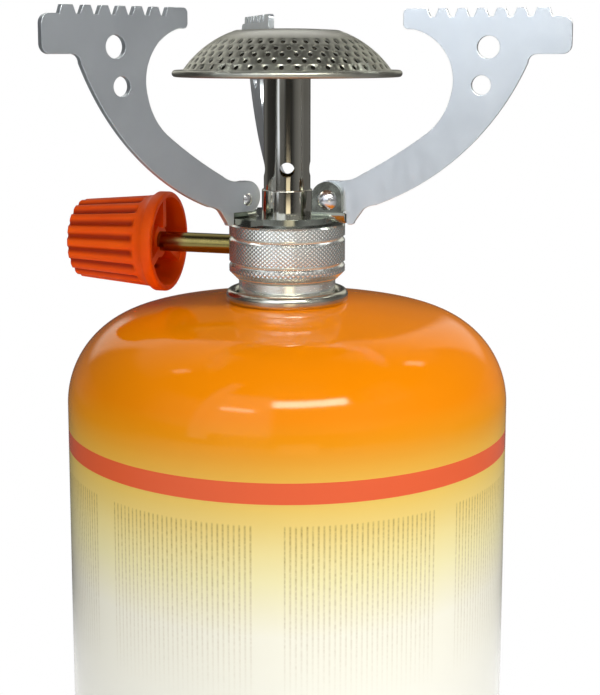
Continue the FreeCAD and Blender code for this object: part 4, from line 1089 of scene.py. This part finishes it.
def level_walls(tree, side, walls):
    """Brightness round the room from (direction, level) pairs."""
    return ramp_of(tree, math_node(tree, "MULTIPLY_ADD", side, 1 / 360, 0.5),
                   [(angle / 360 + 0.5, (level, level, level, 1.0)) for angle, level in walls])


def tent_walls(tree, side, rise):
    """Walls of the room, storey over storey from the ground up to the roof."""
    storeys = [
        # soft step up to it from the storey below, then (direction, level) round it
        (-24.0, -14.0, [
            (-180, 0.05), (-139, 0.1), (-101, 0.03), (-82, 0.1), (-62, 0.5), (-40, 0.95), (-24, 0.9),
            (-8, 0.6), (8, 0.6), (24, 0.75), (40, 0.78), (60, 0.5), (78, 0.36), (92, 0.08), (127, 0.14),
            (180, 0.05)]),
        (-9.0, -7.0, [
            (-180, 0.04), (-166, 0.06), (-131, 0.18), (-105, 0.05), (-60, 0.03), (-34, 0.16), (-18, 0.14),
            (-6, 0.03), (24, 0.03), (42, 0.16), (66, 0.25), (93, 0.17), (131, 0.18), (166, 0.06),
            (180, 0.04)]),
        (5.0, 8.0, [
            (-180, 0.05), (-150, 0.12), (-101, 0.05), (-80, 0.1), (-62, 0.45), (-40, 0.8), (-24, 0.8),
            (-8, 0.5), (8, 0.5), (24, 0.6), (40, 0.62), (60, 0.4), (78, 0.2), (101, 0.1), (150, 0.12),
            (180, 0.05)]),
        (32.0, 40.0, [
            (-180, 0.66), (-135, 0.62), (-112, 0.4), (-85, 0.06), (80, 0.05), (110, 0.1), (140, 0.42),
            (180, 0.66)]),
        (63.0, 73.0, [(-180, 0.07), (180, 0.07)]),
    ]
    tone = level_walls(tree, side, [
        (-180, 0.1), (-90, 0.12), (-55, 0.9), (10, 1.0), (62, 0.45), (180, 0.1)])
    for below, above, walls in storeys:
        tone = mix_colour(tree, falling(tree, rise, above, below), level_walls(tree, side, walls), tone)
    return tone


def tent_windows(tree, side, rise, tone):
    """Soft bright windows and strip lights laid over the walls."""
    windows = [
        # side, half width, rise, half height, soft edge, colour
        (-24, 13, 27, 19, 6.0, (1.7, 1.8, 1.95)),
        (-43, 4, 29.5, 31, 2.0, (1.3, 1.4, 1.6)),
        (5, 8, -9, 4, 3.0, (1.9, 1.65, 1.2)),
        (150, 9, 24, 14, 7.0, (0.8, 0.8, 0.72)),
        (-150, 9, 24, 14, 7.0, (1.0, 1.0, 0.92)),
        (14, 20, 41, 1.6, 4.0, (34.0, 34.0, 32.0)),
        (-27, 8, 32, 0.6, 2.5, (15.0, 15.0, 14.4)),
        (-95, 2, 53, 2, 2.5, (5.0, 5.0, 4.6)),
        (113, 2.5, 46, 2.5, 2.5, (6.0, 6.0, 5.4)),
    ]
    for centre, half, height, tall, soft, glow in windows:
        beside = math_node(tree, "ABSOLUTE", math_node(tree, "SUBTRACT", side, float(centre)))
        above = math_node(tree, "ABSOLUTE", math_node(tree, "SUBTRACT", rise, float(height)))
        share = times(tree, falling(tree, beside, half + soft, half),
                          falling(tree, above, tall + soft, tall))
        tone = mix_colour(tree, share, tone, (*glow, 1.0))
    return tone


def make_tent():
    """Room that shows in reflections alone, patterned by direction and rise in degrees."""
    radius, middle = 700.0, 160.0
    made, tree, place = blank_material("tent")
    raised = node(tree, "ShaderNodeVectorMath", {0: place, 1: (0.0, 0.0, -middle * MM)}, operation="ADD")
    aim = node(tree, "ShaderNodeVectorMath", {0: raised}, operation="NORMALIZE")
    parts = parts_of(tree, aim)
    turn = math_node(tree, "ARCTAN2", parts["Y"], parts["X"])
    turned_by = math_node(tree, "MULTIPLY_ADD", turn, 180 / math.pi, -CAMERA_SIDE)
    side = math_node(tree, "WRAP", turned_by, 180.0, -180.0)
    rise = times(tree, math_node(tree, "ARCSINE", parts["Z"]), 180 / math.pi)
    tone = tent_windows(tree, side, rise, tent_walls(tree, side, rise))
    node(tree, "ShaderNodeOutputMaterial", {0: node(tree, "ShaderNodeEmission", {"Color": tone})})
    wall = trace([(0.0, middle - radius), (0.0, middle + radius, radius, "left")], step=7.5)
    tent = lathe("tent", wall, 96, closed=False)
    tent.data.materials.append(made)
    for rays in ("camera", "diffuse", "transmission", "volume_scatter", "shadow"):
        setattr(tent, f"visible_{rays}", False)


def area_light(name, place, size, power, tint=(1.0, 1.0, 1.0)):
    """A soft rectangular lamp aimed at the stove; metal mirrors the tent in its stead."""
    lamp = bpy.data.lights.new(name, "AREA")
    lamp.shape = "RECTANGLE"
    lamp.size, lamp.size_y = size
    lamp.energy = power
    lamp.color = tint
    target = Vector((0.0, 0.0, 0.15))
    made = link(name, lamp)
    made.location = place
    made.rotation_euler = (target - Vector(place)).to_track_quat("-Z", "Y").to_euler()
    made.visible_glossy = False


def make_lights():
    """Soft boxes in front, to the right, above and behind; places and sizes in metres."""
    area_light("key", (-0.05, -1.15, 0.13), (0.5, 0.4), 4.7, (0.97, 0.99, 1.0))
    area_light("side", (0.74, -0.12, 0.83), (0.35, 0.35), 5.2)
    area_light("top", (0.2, -0.5, 0.95), (0.5, 0.5), 1.6)
    area_light("right", (0.9, -0.68, 0.2), (0.4, 0.5), 0.8, (1.0, 0.98, 0.94))
    area_light("back", (0.1, 1.0, 0.35), (0.8, 0.6), 6.0)


def make_camera():
    """Eye level with the burner, tipped down by eight degrees."""
    lens = bpy.data.cameras.new("camera")
    lens.lens = 69.9
    lens.shift_x, lens.shift_y = 0.0168, -0.15
    lens.clip_start, lens.clip_end = 0.01, 20.0
    camera = link("camera", lens)
    camera.location = (0.1012, -0.3186, 0.2083)
    camera.rotation_euler = (math.radians(90 - 8), 0.0, math.radians(17.57))
    bpy.context.scene.camera = camera


make_can_shell()
make_valve_cup()
make_valve_body()
make_sleeve()
make_tube()
make_pan()
make_burner_cap()
make_shade_sheet()
make_knob()
make_plates()
make_rivets()
dress_nodes()
make_floor()
make_world()
make_tent()
make_lights()
make_camera()
bpy.context.scene.view_settings.view_transform = "Standard"
